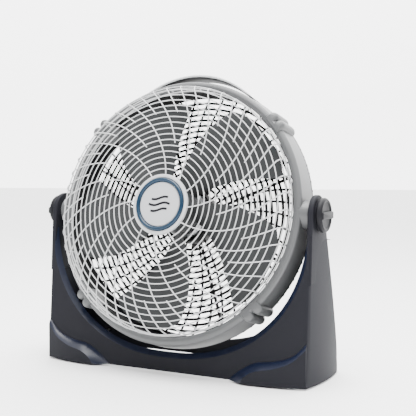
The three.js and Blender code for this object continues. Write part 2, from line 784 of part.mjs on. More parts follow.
function makeMotor() {
  const shaft = turned([
    [0, -hubFront - 12], [shaftRadius - 0.6, -hubFront - 12], [shaftRadius, -hubFront - 11],
    [shaftRadius, motorRear + 3], [0, motorRear + 3],
  ], ROUND);
  add(head, 'motor_shaft', shaft, steel);
  add(head, 'rotor_core', tube(shaftRadius + GAP, rotorRadius, coreFront, coreRear, ROUND), laminate);

  let stator = tube(coreBore, coreRadius, coreFront + GAP, coreRear - GAP, ROUND);
  const slots = 8;
  for (let i = 0; i < slots; i += 1) {
    const slotCut = block(-2.5, 2.5, coreFront - 2, coreRear + 2, coreBore - 2, coreBore + 10);
    stator = stator.subtract(slotCut.rotate([0, (i * 360) / slots, 0]));
  }
  add(head, 'stator_core', stator, laminate);

  const windingInner = coreBore + 6;
  const windingOuter = windingInner + windingWidth;
  const endTurns = [
    ['front', coreFront - windingHeight, coreFront],
    ['rear', coreRear, coreRear + windingHeight - 1],
  ];
  for (const [name, from, to] of endTurns) {
    const mid = (from + to) / 2;
    add(head, `winding_${name}`, turned([
      [windingInner, mid], [windingInner + 2, from], [windingOuter - 2, from],
      [windingOuter, mid], [windingOuter - 2, to], [windingInner + 2, to],
    ], SMALL), copper);
  }

  const bearingBore = shaftRadius + RUNNING;
  const seat = bearingRadius + GAP;
  const frontBell = turned([
    [seat, motorFront - 3], [seat + 3, motorFront - 3], [seat + 3, motorFront],
    [motorRadius - 4, motorFront], [motorRadius, motorFront + 4], [motorRadius, coreFront + 4],
    [coreRadius + GAP, coreFront + 4], [coreRadius + GAP, coreFront],
    [motorRadius - bellWall - 1, coreFront], [motorRadius - bellWall - 1, motorFront + 5],
    [motorRadius - 6, motorFront + bellWall], [seat, motorFront + bellWall],
  ], ROUND);
  const rearBell = turned([
    [seat, motorRear - bellWall], [motorRadius - 6, motorRear - bellWall],
    [motorRadius - bellWall - 1, motorRear - 5], [motorRadius - bellWall - 1, coreRear],
    [coreRadius + GAP, coreRear], [coreRadius + GAP, coreRear - 4],
    [motorRadius, coreRear - 4], [motorRadius, motorRear - 4], [motorRadius - 4, motorRear],
    [seat, motorRear],
  ], ROUND);
  let rear = rearBell;
  for (const [x, z] of motorScrewSpots) {
    const hole = disc(screwRadius + GAP, motorRear - 10, motorRear + 5, TINY);
    rear = rear.subtract(hole.translate(x, 0, z));
  }
  add(head, 'motor_bell_front', frontBell, alloy);
  add(head, 'motor_bell_rear', rear, alloy);

  const bearings = [['front', motorFront - 3], ['rear', motorRear - bearingLength]];
  for (const [name, from] of bearings) {
    add(head, `bearing_${name}`,
      tube(bearingBore, bearingRadius, from, from + bearingLength, ROUND), brass);
  }
  motorScrewSpots.forEach(([x, z], i) => {
    const seatY = cupBack + GAP;
    add(head, `motor_screw_${i + 1}`, screw(seatY - motorRear + 4).translate(x, seatY, z), steel);
  });
}

// ---- Controls ----------------------------------------------------------------------------

function makeControls() {
  const front = cupBack + GAP;
  let housing = turned([
    [housingRadius - wall, front], [housingRadius, front], [housingRadius, housingRear - 8],
    [housingRadius - 8, housingRear], [0, housingRear], [0, housingRear - wall],
    [housingRadius - 9, housingRear - wall], [housingRadius - wall, housingRear - 9],
  ], ROUND);
  const stemHole = disc(stemRadius + 1, housingRear - 10, housingRear + 5, SMALL);
  const glandY = (front + housingRear) / 2;
  const glandHole = disc(glandRadius - 2 + GAP, -housingRadius - 5, -housingRadius + 15, SMALL, 'z')
    .translate(0, glandY, 0);
  housing = housing.subtract(stemHole).subtract(glandHole);
  add(head, 'control_housing', housing, black);

  const innerEnd = -housingRadius + wall + 5;
  const gland = turned([
    [glandBore, -housingRadius - 14], [glandRadius - 2.6, -housingRadius - 14],
    [glandRadius, -housingRadius - 1.5], [glandRadius - 2, -housingRadius - 1.5],
    [glandRadius - 2, innerEnd], [glandBore, innerEnd],
  ], SMALL, 'z').translate(0, glandY, 0);
  add(head, 'cord_gland', gland, rubber);

  const switchBack = housingRear - wall - GAP;
  const socketFloor = switchBack - 6;
  const body = block(-switchHalf, switchHalf, switchBack - 13, switchBack, -switchHalf, switchHalf)
    .subtract(disc(stemRadius + RUNNING, socketFloor, switchBack + 1, ROUND));
  add(head, 'speed_switch', body, nylon);
  const stem = disc(stemRadius, socketFloor + GAP, knobFace - knobCap - GAP, ROUND);
  add(head, 'switch_stem', stem, steel);
  const canister = block(-34, -16, front + 5, switchBack - 3, -16, 16);
  add(head, 'run_capacitor', canister, black);

  const skirt = housingRear + GAP + 0.2;
  const socket = stemRadius + GAP;
  const knob = turned([
    [socket, skirt], [speedKnobRadius, skirt], [speedKnobRadius, skirt + 3],
    [speedKnobRadius - 2, knobFace - 1.5], [speedKnobRadius - knobCap, knobFace], [0, knobFace],
    [0, knobFace - knobCap], [socket, knobFace - knobCap],
  ], ROUND);
  const pointer = block(-2.5, 2.5, knobFace - 3, knobFace + 4, -15, 15);
  add(head, 'speed_knob', knob.add(pointer), knobGrey);
}

// ---- Tilt pivots -------------------------------------------------------------------------

function makePivots() {
  for (const [name, side] of sides) {
    const mirrored = (solid) => (side > 0 ? solid : solid.mirror([1, 0, 0]));
    const face = knobOuter;
    const round = turned([
      [boltRadius + GAP, armOuter + GAP], [15, armOuter + GAP], [16, knobInner],
      [knobRadius - 1, knobInner], [knobRadius, knobInner + 2], [knobRadius, face - 4],
      [knobRadius - 4, face - 0.8], [knobRadius - 7, face - 2], [0, face - 2],
      [0, face - knobCover], [boltRadius + GAP, face - knobCover],
    ], ROUND, 'x');
    const bar = block(knobInner + 2, face + gripProud, -knobRadius + 1.5, knobRadius - 1.5,
      -gripBar / 2, gripBar / 2);
    const grip = bar.intersect(disc(knobRadius - 0.5, knobInner, face + gripProud, ROUND, 'x'))
      .subtract(disc(boltRadius + GAP, armOuter - knobCover, face - knobCover, ROUND, 'x'));
    const knob = mirrored(round.add(grip)).translate(0, pivotY, pivotHeight);
    add(fan, `tilt_knob_${name}`, knob, knobGrey);

    const bolt = turned([
      [0, insertInner + 1], [boltRadius - 1, insertInner + 1], [boltRadius, insertInner + 2],
      [boltRadius, face - knobCover - GAP], [0, face - knobCover - GAP],
    ], ROUND, 'x');
    add(fan, `knob_bolt_${name}`, mirrored(bolt).translate(0, pivotY, pivotHeight), steel);

    const insert = tube(
      boltRadius + RUNNING, insertRadius, insertInner, bossFace - 1, ROUND, 'x');
    add(head, `pivot_insert_${name}`, mirrored(insert), brass);
    const washer = tube(
      boltRadius + boltClearance, washerRadius, bossFace + GAP, bossFace + GAP + washerThickness, SMALL, 'x');
    add(head, `friction_washer_${name}`, mirrored(washer), nylon);
  }
}

makeBase();
makeRing();
makeHandle();
makeClamps();
makeFrontGrille();
makeBadge();
makeRearGrille();
makeImpeller();
makeMotor();
makeControls();
makePivots();

// The origin is the bottom centre of the whole fan.
fan.updateMatrixWorld(true);
const centre = new THREE.Box3().setFromObject(fan, true).getCenter(new THREE.Vector3());
fan.position.set(-centre.x, -centre.y, 0);

export default fan;
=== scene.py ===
"""Round floor fan on a U-shaped base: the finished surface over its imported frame."""

import json
import logging
import math
from collections.abc import Callable
from dataclasses import dataclass
from enum import Enum

import bmesh
import bpy
from mathutils import Matrix, Vector


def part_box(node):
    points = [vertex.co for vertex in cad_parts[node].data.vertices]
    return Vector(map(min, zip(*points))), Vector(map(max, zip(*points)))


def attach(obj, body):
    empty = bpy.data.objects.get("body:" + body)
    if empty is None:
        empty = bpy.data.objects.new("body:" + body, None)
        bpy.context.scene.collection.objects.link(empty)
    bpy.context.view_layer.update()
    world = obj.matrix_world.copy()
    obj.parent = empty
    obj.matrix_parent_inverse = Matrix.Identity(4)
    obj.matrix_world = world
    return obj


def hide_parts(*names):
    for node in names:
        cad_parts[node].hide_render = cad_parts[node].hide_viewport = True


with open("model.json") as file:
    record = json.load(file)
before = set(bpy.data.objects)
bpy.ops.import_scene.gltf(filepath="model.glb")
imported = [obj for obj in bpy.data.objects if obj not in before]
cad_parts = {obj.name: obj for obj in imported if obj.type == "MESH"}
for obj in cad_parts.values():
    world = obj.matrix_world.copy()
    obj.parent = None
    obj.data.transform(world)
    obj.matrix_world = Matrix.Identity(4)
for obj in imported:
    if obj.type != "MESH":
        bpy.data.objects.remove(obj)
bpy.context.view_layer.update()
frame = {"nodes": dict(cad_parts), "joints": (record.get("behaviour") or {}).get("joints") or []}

logging.basicConfig(level=logging.INFO, format="%(levelname)s %(message)s")
log = logging.getLogger("floor_fan")

MM = 0.001
JOINTS = {joint["name"]: joint for joint in frame["joints"]}
PIVOT = Vector(JOINTS["head_tilt"]["pos_m"])
FORWARD = Vector(JOINTS["impeller_spin"]["axis"]).normalized()
LEAN = math.atan2(FORWARD.z, -FORWARD.y)
IN_BASE = Matrix.Translation((0, PIVOT.y, 0)) @ Matrix.Scale(MM, 4)
IN_HEAD = Matrix.Translation(PIVOT) @ Matrix.Rotation(-LEAN, 4, "X") @ Matrix.Scale(MM, 4)
PIVOT_HEIGHT = PIVOT.z / MM


class Body(Enum):
    """The rigid bodies that the pieces ride on."""

    BASE = "base"
    HEAD = "head"
    ROTOR = "rotor"
    SELECTOR = "selector"
    LEFT_KNOB = "left_knob"
    RIGHT_KNOB = "right_knob"


class Side(Enum):
    """The two arms of the base; the value is the sign of x."""

    LEFT = -1
    RIGHT = 1


class Axis(Enum):
    """Directions that a profile can be turned round."""

    X = (1, 0, 0)
    Y = (0, 1, 0)
    Z = (0, 0, 1)


# ---- Finishes -------------------------------------------------------------------------


def grain_group() -> bpy.types.NodeTree:
    """Shared effect: a moulded or cast skin with faint mottling, gloss drift and fine grain.

    Returns:
        The node group, made on the first call and reused after it.
    """
    name = "moulded_skin"
    if name in bpy.data.node_groups:
        return bpy.data.node_groups[name]
    tree = bpy.data.node_groups.new(name, "ShaderNodeTree")
    face = tree.interface
    face.new_socket("Colour", in_out="INPUT", socket_type="NodeSocketColor")
    for label, value in (("Roughness", 0.4), ("Mottle", 0.1), ("Grain", 0.1), ("Grain Scale", 900.0)):
        socket = face.new_socket(label, in_out="INPUT", socket_type="NodeSocketFloat")
        socket.default_value = value
    face.new_socket("Colour", in_out="OUTPUT", socket_type="NodeSocketColor")
    face.new_socket("Roughness", in_out="OUTPUT", socket_type="NodeSocketFloat")
    face.new_socket("Normal", in_out="OUTPUT", socket_type="NodeSocketVector")

    nodes, links = tree.nodes, tree.links
    given = nodes.new("NodeGroupInput")
    result = nodes.new("NodeGroupOutput")
    place = nodes.new("ShaderNodeTexCoord")
    cloud = nodes.new("ShaderNodeTexNoise")
    cloud.inputs["Scale"].default_value = 14.0
    cloud.inputs["Detail"].default_value = 4.0
    links.new(place.outputs["Object"], cloud.inputs["Vector"])

    centred = nodes.new("ShaderNodeMath")
    centred.operation = "SUBTRACT"
    centred.inputs[1].default_value = 0.5
    links.new(cloud.outputs["Fac"], centred.inputs[0])
    amount = nodes.new("ShaderNodeMath")
    amount.operation = "MULTIPLY"
    links.new(centred.outputs[0], amount.inputs[0])
    links.new(given.outputs["Mottle"], amount.inputs[1])
    gain = nodes.new("ShaderNodeMath")
    gain.operation = "ADD"
    gain.inputs[1].default_value = 1.0
    links.new(amount.outputs[0], gain.inputs[0])
    shade = nodes.new("ShaderNodeHueSaturation")
    links.new(given.outputs["Colour"], shade.inputs["Color"])
    links.new(gain.outputs[0], shade.inputs["Value"])
    links.new(shade.outputs["Color"], result.inputs["Colour"])

    drift = nodes.new("ShaderNodeMath")
    drift.operation = "MULTIPLY_ADD"
    drift.inputs[1].default_value = 0.5
    drift.use_clamp = True
    links.new(amount.outputs[0], drift.inputs[0])
    links.new(given.outputs["Roughness"], drift.inputs[2])
    links.new(drift.outputs[0], result.inputs["Roughness"])

    speckle = nodes.new("ShaderNodeTexNoise")
    speckle.inputs["Detail"].default_value = 3.0
    links.new(place.outputs["Object"], speckle.inputs["Vector"])
    links.new(given.outputs["Grain Scale"], speckle.inputs["Scale"])
    bump = nodes.new("ShaderNodeBump")
    bump.inputs["Distance"].default_value = 0.0004
    links.new(given.outputs["Grain"], bump.inputs["Strength"])
    links.new(speckle.outputs["Fac"], bump.inputs["Height"])
    links.new(bump.outputs["Normal"], result.inputs["Normal"])
    return tree


@dataclass(frozen=True)
class Finish:
    """One surface finish and the record slot that it belongs to."""

    name: str
    slot: str
    colour: tuple[float, float, float]
    roughness: float = 0.4
    metallic: float = 0.0
    coat: float = 0.0
    specular: float = 0.5
    mottle: float = 0.12
    grain: float = 0.1
    grain_scale: float = 900.0

    def material(self) -> bpy.types.Material:
        """Builds the procedural material once and reuses it.

        Returns:
            The material.
        """
        if self.name in bpy.data.materials:
            return bpy.data.materials[self.name]
        made = bpy.data.materials.new(self.name)
        made.use_nodes = True
        nodes, links = made.node_tree.nodes, made.node_tree.links
        shader = nodes["Principled BSDF"]
        shader.inputs["Metallic"].default_value = self.metallic
        shader.inputs["Coat Weight"].default_value = self.coat
        shader.inputs["Coat Roughness"].default_value = 0.08
        shader.inputs["Specular IOR Level"].default_value = self.specular
        skin = nodes.new("ShaderNodeGroup")
        skin.node_tree = grain_group()
        skin.inputs["Colour"].default_value = (*self.colour, 1.0)
        skin.inputs["Roughness"].default_value = self.roughness
        skin.inputs["Mottle"].default_value = self.mottle
        skin.inputs["Grain"].default_value = self.grain
        skin.inputs["Grain Scale"].default_value = self.grain_scale
        links.new(skin.outputs["Colour"], shader.inputs["Base Color"])
        links.new(skin.outputs["Roughness"], shader.inputs["Roughness"])
        links.new(skin.outputs["Normal"], shader.inputs["Normal"])
        return made


CHARCOAL = Finish(
    "charcoal_satin", "charcoal_plastic", (0.0118, 0.012, 0.0152), 0.55, specular=0.07, grain=0.25)
NAVY = Finish("navy_bevel_gloss", "charcoal_plastic", (0.004, 0.0065, 0.018), 0.3, specular=0.3)
KNOB = Finish("knob_satin", "knob_plastic", (0.0088, 0.0089, 0.0108), 0.48, specular=0.12)
PALE = Finish("pale_grey_shell", "pale_grey_plastic", (0.074, 0.076, 0.078), 0.38)
WHITE = Finish("white_shell", "white_plastic", (0.75, 0.76, 0.77), 0.36)
# Painted shade: a dark material laid on the white handle's underside under the grip, standing in for the
# shade there; it is no separate liner part.
GRIP_PAINTED_SHADE = Finish("painted_shade_under_grip", "white_plastic", (0.03, 0.03, 0.032), 0.6, specular=0.25)
GRILLE = Finish("grille_silver_grey", "grille_plastic", (0.46, 0.465, 0.47), 0.4)
BLADE = Finish("blade_grey", "blade_plastic", (0.028, 0.0295, 0.0305), 0.5, specular=0.2, mottle=0.08)
BLACK = Finish("black_moulding", "black_plastic", (0.003, 0.003, 0.0035), 0.6, specular=0.12)
BLUE = Finish("blue_high_gloss", "blue_gloss", (0.002, 0.018, 0.04), 0.25, specular=0.3, mottle=0.05)
SILVER = Finish("silver_lacquer", "silver_face", (0.4, 0.405, 0.42), 0.4)
INK = Finish("dark_motif", "silver_face", (0.006, 0.006, 0.008), 0.4, specular=0.2)
RUBBER = Finish("soft_rubber", "rubber", (0.016, 0.016, 0.017), 0.78, grain=0.4)
STEEL = Finish("zinc_plate", "steel", (0.5, 0.51, 0.5), 0.3, 1.0, grain=0.05)
BRASS = Finish("turned_brass", "brass", (0.62, 0.43, 0.17), 0.3, 1.0)
COPPER = Finish("enamelled_copper", "copper", (0.5, 0.19, 0.08), 0.32, 0.8, coat=0.5, grain=0.5)
LAMINATE = Finish("lamination_steel", "laminations", (0.2, 0.21, 0.22), 0.45, 0.9, grain=0.4)
ALLOY = Finish("cast_alloy", "alloy", (0.45, 0.46, 0.47), 0.42, 0.9, grain=0.35)
NYLON = Finish("natural_nylon", "nylon", (0.72, 0.7, 0.64), 0.45)

CARRIED_OVER = {
    "motor_bell_front": ALLOY, "motor_bell_rear": ALLOY, "stator_core": LAMINATE,
    "rotor_core": LAMINATE, "winding_front": COPPER, "winding_rear": COPPER,
    "bearing_front": BRASS, "bearing_rear": BRASS, "motor_shaft": STEEL, "switch_stem": STEEL,
    "speed_switch": NYLON, "run_capacitor": BLACK, "pivot_insert_left": BRASS,
    "pivot_insert_right": BRASS, "friction_washer_left": NYLON,
    "friction_washer_right": NYLON, "knob_bolt_left": STEEL, "knob_bolt_right": STEEL,
    "motor_screw_1": STEEL, "motor_screw_2": STEEL, "motor_screw_3": STEEL,
    "motor_screw_4": STEEL,
}


# ---- Shaping tools --------------------------------------------------------------------


def rounded(points: list, radius: float, steps: int = 3, closed: bool = True) -> list:
    """Rounds the corners of a flat outline.

    Args:
        points: Corners as pairs.
        radius: How far along each edge the rounding starts.
        steps: Pieces in each rounded corner.
        closed: Whether the last corner joins the first.

    Returns:
        The rounded outline as 2-D vectors.
    """
    corners = [Vector(p) for p in points]
    count = len(corners)
    outline = []
    for i, corner in enumerate(corners):
        if not closed and i in (0, count - 1):
            outline.append(corner)
            continue
        before = corners[i - 1] - corner
        after = corners[(i + 1) % count] - corner
        reach = min(radius, before.length * 0.45, after.length * 0.45)
        start = corner + before.normalized() * reach
        end = corner + after.normalized() * reach
        for k in range(steps + 1):
            t = k / steps
            outline.append((1 - t) ** 2 * start + 2 * t * (1 - t) * corner + t * t * end)
    return outline


def through(points: list, share: float) -> Vector:
    """A point on a smooth curve through a few given points.

    Args:
        points: The points that the curve passes.
        share: Place along the curve, 0 to 1.

    Returns:
        The point at that place.
    """
    spans = len(points) - 1
    i = min(int(share * spans), spans - 1)
    t = share * spans - i
    p1, p2 = Vector(points[i]), Vector(points[i + 1])
    p0 = Vector(points[i - 1]) if i else 2 * p1 - p2
    p3 = Vector(points[i + 2]) if i + 2 <= spans else 2 * p2 - p1
    return 0.5 * (
        2 * p1 + (p2 - p0) * t + (2 * p0 - 5 * p1 + 4 * p2 - p3) * t * t
        + (3 * p1 - p0 - 3 * p2 + p3) * t ** 3
    )


class Shape:
    """A mesh being shaped, in millimetres, in the base's or the head's own axes."""

    def __init__(self) -> None:
        """Starts an empty mesh."""
        self.bm = bmesh.new()

    def _paint(self, known: set, finish: int) -> list:
        """Gives a finish index to the faces added since a set was taken.

        Args:
            known: Faces that were there before.
            finish: Index into the piece's finishes.

        Returns:
            The new faces.
        """
        new = [face for face in self.bm.faces if face not in known]
        for face in new:
            face.material_index = finish
        return new

    def grid(self, rows: list, finish: int = 0, loop: bool = False, ends: bool = False) -> list:
        """Skins rows of points with four-sided faces.

        Args:
            rows: Lists of points of equal length.
            finish: Finish index.
            loop: Whether each row closes on itself.
            ends: Whether the first and last rows are closed by a face.

        Returns:
            The new faces.
        """
        known = set(self.bm.faces)
        laid = [[self.bm.verts.new(point) for point in row] for row in rows]
        width = len(laid[0])
        for lower, upper in zip(laid, laid[1:]):
            for i in range(width if loop else width - 1):
                k = (i + 1) % width
                self.bm.faces.new((lower[i], lower[k], upper[k], upper[i]))
        if ends:
            self.bm.faces.new(laid[0])
            self.bm.faces.new(laid[-1])
        return self._paint(known, finish)

    def turned(self, profile: list, segments: int, finish: int = 0, axis: Axis = Axis.Y,
               centre: tuple = (0, 0, 0), closed: bool = True) -> list:
        """Turns a profile of (radius, place along the axis) pairs.

        Args:
            profile: The profile's points.
            segments: Facets in a full turn.
            finish: Finish index.
            axis: The turning axis.
            centre: A point on that axis.
            closed: Whether the profile's last point joins its first.

        Returns:
            The new faces.
        """
        known = set(self.bm.faces)
        along = Vector(axis.value)
        out = Vector((0, 0, 1)) if axis is not Axis.Z else Vector((1, 0, 0))
        middle = Vector(centre)
        verts = [self.bm.verts.new(middle + out * r + along * a) for r, a in profile]
        pairs = list(zip(verts, verts[1:]))
        if closed:
            pairs.append((verts[-1], verts[0]))
        edges = [self.bm.edges.new(pair) for pair in pairs]
        bmesh.ops.spin(
            self.bm, geom=verts + edges, cent=middle, axis=along, dvec=(0, 0, 0),
            angle=2 * math.pi, steps=segments, use_merge=True)
        return self._paint(known, finish)

    def swept(self, points: list, width: float, depth: float, sides: int = 6,
              loop: bool = False, finish: int = 0, facing: Vector = Vector((0, -1, 0))) -> list:
        """Sweeps an oval section along a path.

        Args:
            points: The path.
            width: Section size across the path.
            depth: Section size towards the facing direction.
            sides: Corners of the section.
            loop: Whether the path closes on itself.
            finish: Finish index.
            facing: Direction that the section's depth points to.

        Returns:
            The new faces.
        """
        count = len(points)
        rows = []
        for i, point in enumerate(points):
            before = points[i - 1] if loop or i else point
            after = points[(i + 1) % count] if loop or i < count - 1 else point
            ahead = (after - before).normalized()
            across = ahead.cross(facing).normalized()
            up = across.cross(ahead)
            rows.append([
                point + across * (math.cos(a) * width / 2) + up * (math.sin(a) * depth / 2)
                for a in (2 * math.pi * (k + 0.5) / sides for k in range(sides))])
        if loop:
            rows.append([p.copy() for p in rows[0]])
        return self.grid(rows, finish, loop=True, ends=not loop)

    def prism(self, outline: list, start: float, end: float, axis: Axis = Axis.Y,
              finish: int = 0, edge: float = 0.0, steps: int = 2) -> list:
        """Draws a flat outline out along an axis and softens its two rims.

        Args:
            outline: Points as pairs: (x, z) for Y, (y, z) for X, (x, y) for Z.
            start: Where it starts along the axis.
            end: Where it ends.
            axis: Direction of the draw.
            finish: Finish index.
            edge: Size of the softened rims.
            steps: Facets across a softened rim.

        Returns:
            The new faces.
        """
        known = set(self.bm.faces)
        lay = {
            Axis.Y: lambda a, b, h: (a, h, b),
            Axis.X: lambda a, b, h: (h, a, b),
            Axis.Z: lambda a, b, h: (a, b, h),
        }[axis]
        flat = self.bm.faces.new([self.bm.verts.new(lay(a, b, start)) for a, b in outline])
        drawn = bmesh.ops.extrude_face_region(
            self.bm, geom=[flat], use_keep_orig=True)
        moved = [g for g in drawn["geom"] if isinstance(g, bmesh.types.BMVert)]
        bmesh.ops.translate(self.bm, verts=moved, vec=Vector(axis.value) * (end - start))
        new = self._paint(known, finish)
        if edge > 0:
            caps = [f for f in new if len(f.verts) == len(outline)]
            rims = list({e for cap in caps for e in cap.edges})
            bmesh.ops.recalc_face_normals(self.bm, faces=new)
            bmesh.ops.bevel(
                self.bm, geom=rims, offset=edge, segments=steps, profile=0.5,
                affect="EDGES", clamp_overlap=True, material=-1)
        return self._paint(known, finish)

    def turn(self, faces: list, degrees: float) -> None:
        """Turns faces clockwise round the fan's own axis.

        Args:
            faces: The faces to turn.
            degrees: How far.
        """
        verts = list({v for f in faces if f.is_valid for v in f.verts})
        turning = Matrix.Rotation(math.radians(degrees), 3, "Y")
        bmesh.ops.rotate(self.bm, verts=verts, cent=(0, 0, 0), matrix=turning)

    def wall(self, thickness: float) -> None:
        """Thickens an open skin inwards.

        Args:
            thickness: The wall, in millimetres.
        """
        bmesh.ops.remove_doubles(self.bm, verts=self.bm.verts, dist=0.01)
        bmesh.ops.recalc_face_normals(self.bm, faces=self.bm.faces)
        bmesh.ops.solidify(self.bm, geom=self.bm.faces[:], thickness=thickness)

    def piece(self, name: str, finishes: list, body: Body, place: Matrix,
              replaces: tuple = (), crease: float = 32.0) -> bpy.types.Object:
        """Turns the mesh into a dressed piece of the fan.

        Args:
            name: The piece's name.
            finishes: Finishes by index.
            body: The body that it rides on.
            place: Where its own axes lie in the frame.
            replaces: Frame nodes that it stands for.
            crease: Edges sharper than this stay sharp, in degrees.

        Returns:
            The new object.
        """
        bm = self.bm
        bmesh.ops.remove_doubles(bm, verts=bm.verts, dist=0.004)
        bmesh.ops.dissolve_degenerate(bm, edges=bm.edges, dist=0.002)
        bmesh.ops.transform(bm, matrix=place, verts=bm.verts)
        bmesh.ops.recalc_face_normals(bm, faces=bm.faces)
        for face in bm.faces:
            face.smooth = True
        for edge in bm.edges:
            if edge.is_manifold and edge.calc_face_angle() > math.radians(crease):
                edge.smooth = False
        mesh = bpy.data.meshes.new(name)
        bm.to_mesh(mesh)
        bm.free()
        made = bpy.data.objects.new(name, mesh)
        bpy.context.scene.collection.objects.link(made)
        for finish in finishes:
            mesh.materials.append(finish.material())
        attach(made, body.value)
        if replaces:
            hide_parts(*replaces)
        log.info("%s: %d faces", name, len(mesh.polygons))
        return made


# ---- Base -----------------------------------------------------------------------------


@dataclass
class Base:
    """The hollow moulded base with its two arms, rear panel, front feet and pads."""

    half_width: float = 276.0
    bulge_low: float = 14.0
    bulge_high: float = 4.0
    front_low: float = -56.0
    front_high: float = -36.0
    rear_low: float = 109.0
    rear_high: float = 36.0
    floor_gap: float = 2.8
    skin: float = 3.0
    arm_inner: float = 270.0
    arm_plate: float = 10.0
    arch_low: float = 38.0
    arch_power: float = 2.3
    shoulder: float = 36.0
    scoop: float = 40.0
    bevel: float = 9.0
    corner: float = 7.0
    foot_step: float = 17.0
    rear_corner: float = 17.0
    wall_spans: int = 96
    wall_bands: int = 12
    side_share: float = 0.27

    def front(self, z: float) -> float:
        """Place of the leaning front wall at a height."""
        return self.front_low + (self.front_high - self.front_low) * z / PIVOT_HEIGHT

    def rear(self, z: float) -> float:
        """Place of the leaning rear wall at a height."""
        return self.rear_low + (self.rear_high - self.rear_low) * z / PIVOT_HEIGHT

    def flank(self, y: float, z: float) -> float:
        """Half width of the side wall at a depth and a height."""
        rise = min(z / (PIVOT_HEIGHT - self.shoulder), 1.0)
        bulge = self.bulge_low + (self.bulge_high - self.bulge_low) * rise
        turn_in = self.rear_low - self.rear_corner
        rear_x = self.half_width + 0.65 * bulge
        if y > turn_in:
            t = 1 - math.sqrt(max(0.0, (self.rear_low - y) / (self.rear_low - turn_in)))
            last_x = rear_x - self.rear_corner
            return (1 - t) ** 2 * rear_x + 2 * t * (1 - t) * (rear_x - 3) + t * t * last_x
        t = max(0.0, (y - self.front_low) / (turn_in - self.front_low))
        belly = self.half_width + 1.45 * bulge
        return (1 - t) ** 2 * self.half_width + 2 * t * (1 - t) * belly + t * t * rear_x

    def arch(self, angle: float) -> Vector:
        """A point (x, z) of the U opening; 0 is the right arm and pi the left."""
        c, s = math.cos(angle), math.sin(angle)
        x = self.arm_inner * math.copysign(abs(c) ** (2 / self.arch_power), c)
        drop = PIVOT_HEIGHT - self.arch_low
        return Vector((x, PIVOT_HEIGHT - drop * abs(s) ** (2 / self.arch_power)))

    def shoulder_height(self, y: float) -> float:
        """Top of the side wall, scooped round under the tilt knob."""
        ledge = PIVOT_HEIGHT - self.shoulder
        inside = self.scoop ** 2 - y * y
        return min(ledge, PIVOT_HEIGHT - math.sqrt(inside)) if inside > 0 else ledge

    def wall_rows(self, depth_at: Callable[[float], float], edge_depth: float) -> tuple[list, list]:
        """Points of a front or rear wall, from the U opening out to its rim.

        Args:
            depth_at: Function that gives the wall's place from a height.
            edge_depth: How far the bevelled lip of the U drops back.

        Returns:
            Rows of the bevelled lip and rows of the flat wall.
        """
        spans, bands, near_side = self.wall_spans, self.wall_bands, self.side_share
        start_share = (self.shoulder - 2) / (PIVOT_HEIGHT - self.arch_low)
        start = math.asin(start_share ** (self.arch_power / 2))
        turns = [start + (math.pi - 2 * start) * i / spans for i in range(spans + 1)]
        lip, flat = [], []
        top = self.arch(turns[0]).y
        for i, angle in enumerate(turns):
            share = i / spans
            inner = self.arch(angle)
            side = 1 if share < 0.5 else -1
            near = min(share, 1 - share) / near_side
            if near < 1:
                outer = Vector((side * self.half_width, top + (self.floor_gap - top) * near))
            else:
                across = (share - near_side) / (1 - 2 * near_side)
                outer = Vector((self.half_width * (1 - 2 * across), self.floor_gap))
            nearby = self.arch(angle + 0.01) - self.arch(angle - 0.01)
            away = Vector((-nearby.y, nearby.x)).normalized()
            away = away if away.dot(outer - inner) > 0 else -away
            width = min(self.bevel, 0.55 * (outer - inner).length)
            crest = inner + away * width
            lip.append([
                (p.x, depth_at(p.y) + drop, p.y) for p, drop in (
                    (inner, edge_depth), (inner.lerp(crest, 0.5), edge_depth * 0.42), (crest, 0))])
            flat.append([
                (p.x, depth_at(p.y), p.y)
                for p in (crest.lerp(outer, k / bands) for k in range(bands + 1))])
        return lip, flat

    def build_shell(self) -> None:
        """Front wall, flanks, shoulders and the bevelled lip of the U."""
        shape = Shape()
        lip, flat = self.wall_rows(self.front, self.bevel)
        shape.grid(lip, finish=1)
        shape.grid(flat)
        corner_heights = sorted({round(row[-1][2], 4) for row in flat}, reverse=True)
        steps = 26
        for side in Side:
            rows = []
            for z in corner_heights:
                start, end = self.front(z), self.rear(z) - self.skin + 0.3
                row = []
                for k in range(steps + 1):
                    y = start + (end - start) * k / steps
                    x = self.half_width if k == 0 else self.flank(y, z)
                    lowered = z
                    if z > PIVOT_HEIGHT - self.shoulder - 8:
                        lowered = min(z, self.shoulder_height(y))
                    row.append((side.value * x, y, lowered))
                rows.append(row)
            ledge = [(side.value * (self.arm_inner + self.arm_plate - 1), y, z) for _, y, z in rows[0]]
            shape.grid([ledge, *rows])
        bmesh.ops.remove_doubles(shape.bm, verts=shape.bm.verts, dist=0.05)
        bmesh.ops.recalc_face_normals(shape.bm, faces=shape.bm.faces)
        bend = [
            e for e in shape.bm.edges
            if e.is_manifold and e.calc_face_angle() > math.radians(30)
            and all(abs(abs(v.co.x) - self.half_width) < 0.05 for v in e.verts)
            and all(abs(v.co.y - self.front(v.co.z)) < 0.05 for v in e.verts)]
        bmesh.ops.bevel(
            shape.bm, geom=bend, offset=self.corner, segments=5, profile=0.5,
            affect="EDGES", clamp_overlap=True, material=-1)
        shape.wall(self.skin)
        shape.piece("base_moulding", [CHARCOAL, NAVY], Body.BASE, IN_BASE, ("base_shell",))

    def build_rear_panel(self) -> None:
        """The screwed rear panel, flat and leaning, with a bevelled lip."""
        shape = Shape()
        lip, flat = self.wall_rows(self.rear, -self.skin)
        rows = [lip_row[:-1] + wall_row for lip_row, wall_row in zip(lip, flat)]
        for row in rows:
            for k, (x, y, z) in enumerate(row):
                limit = self.flank(min(y, self.rear_low - 0.2), z)
                grow = (limit - 1) / self.half_width
                share = max(0, k - 2) / self.wall_bands
                row[k] = (x * (1 + (grow - 1) * share), y, z)
        shape.grid(rows)
        shape.wall(self.skin - 0.4)
        shape.piece("rear_panel", [CHARCOAL], Body.BASE, IN_BASE, ("base_rear_panel",))

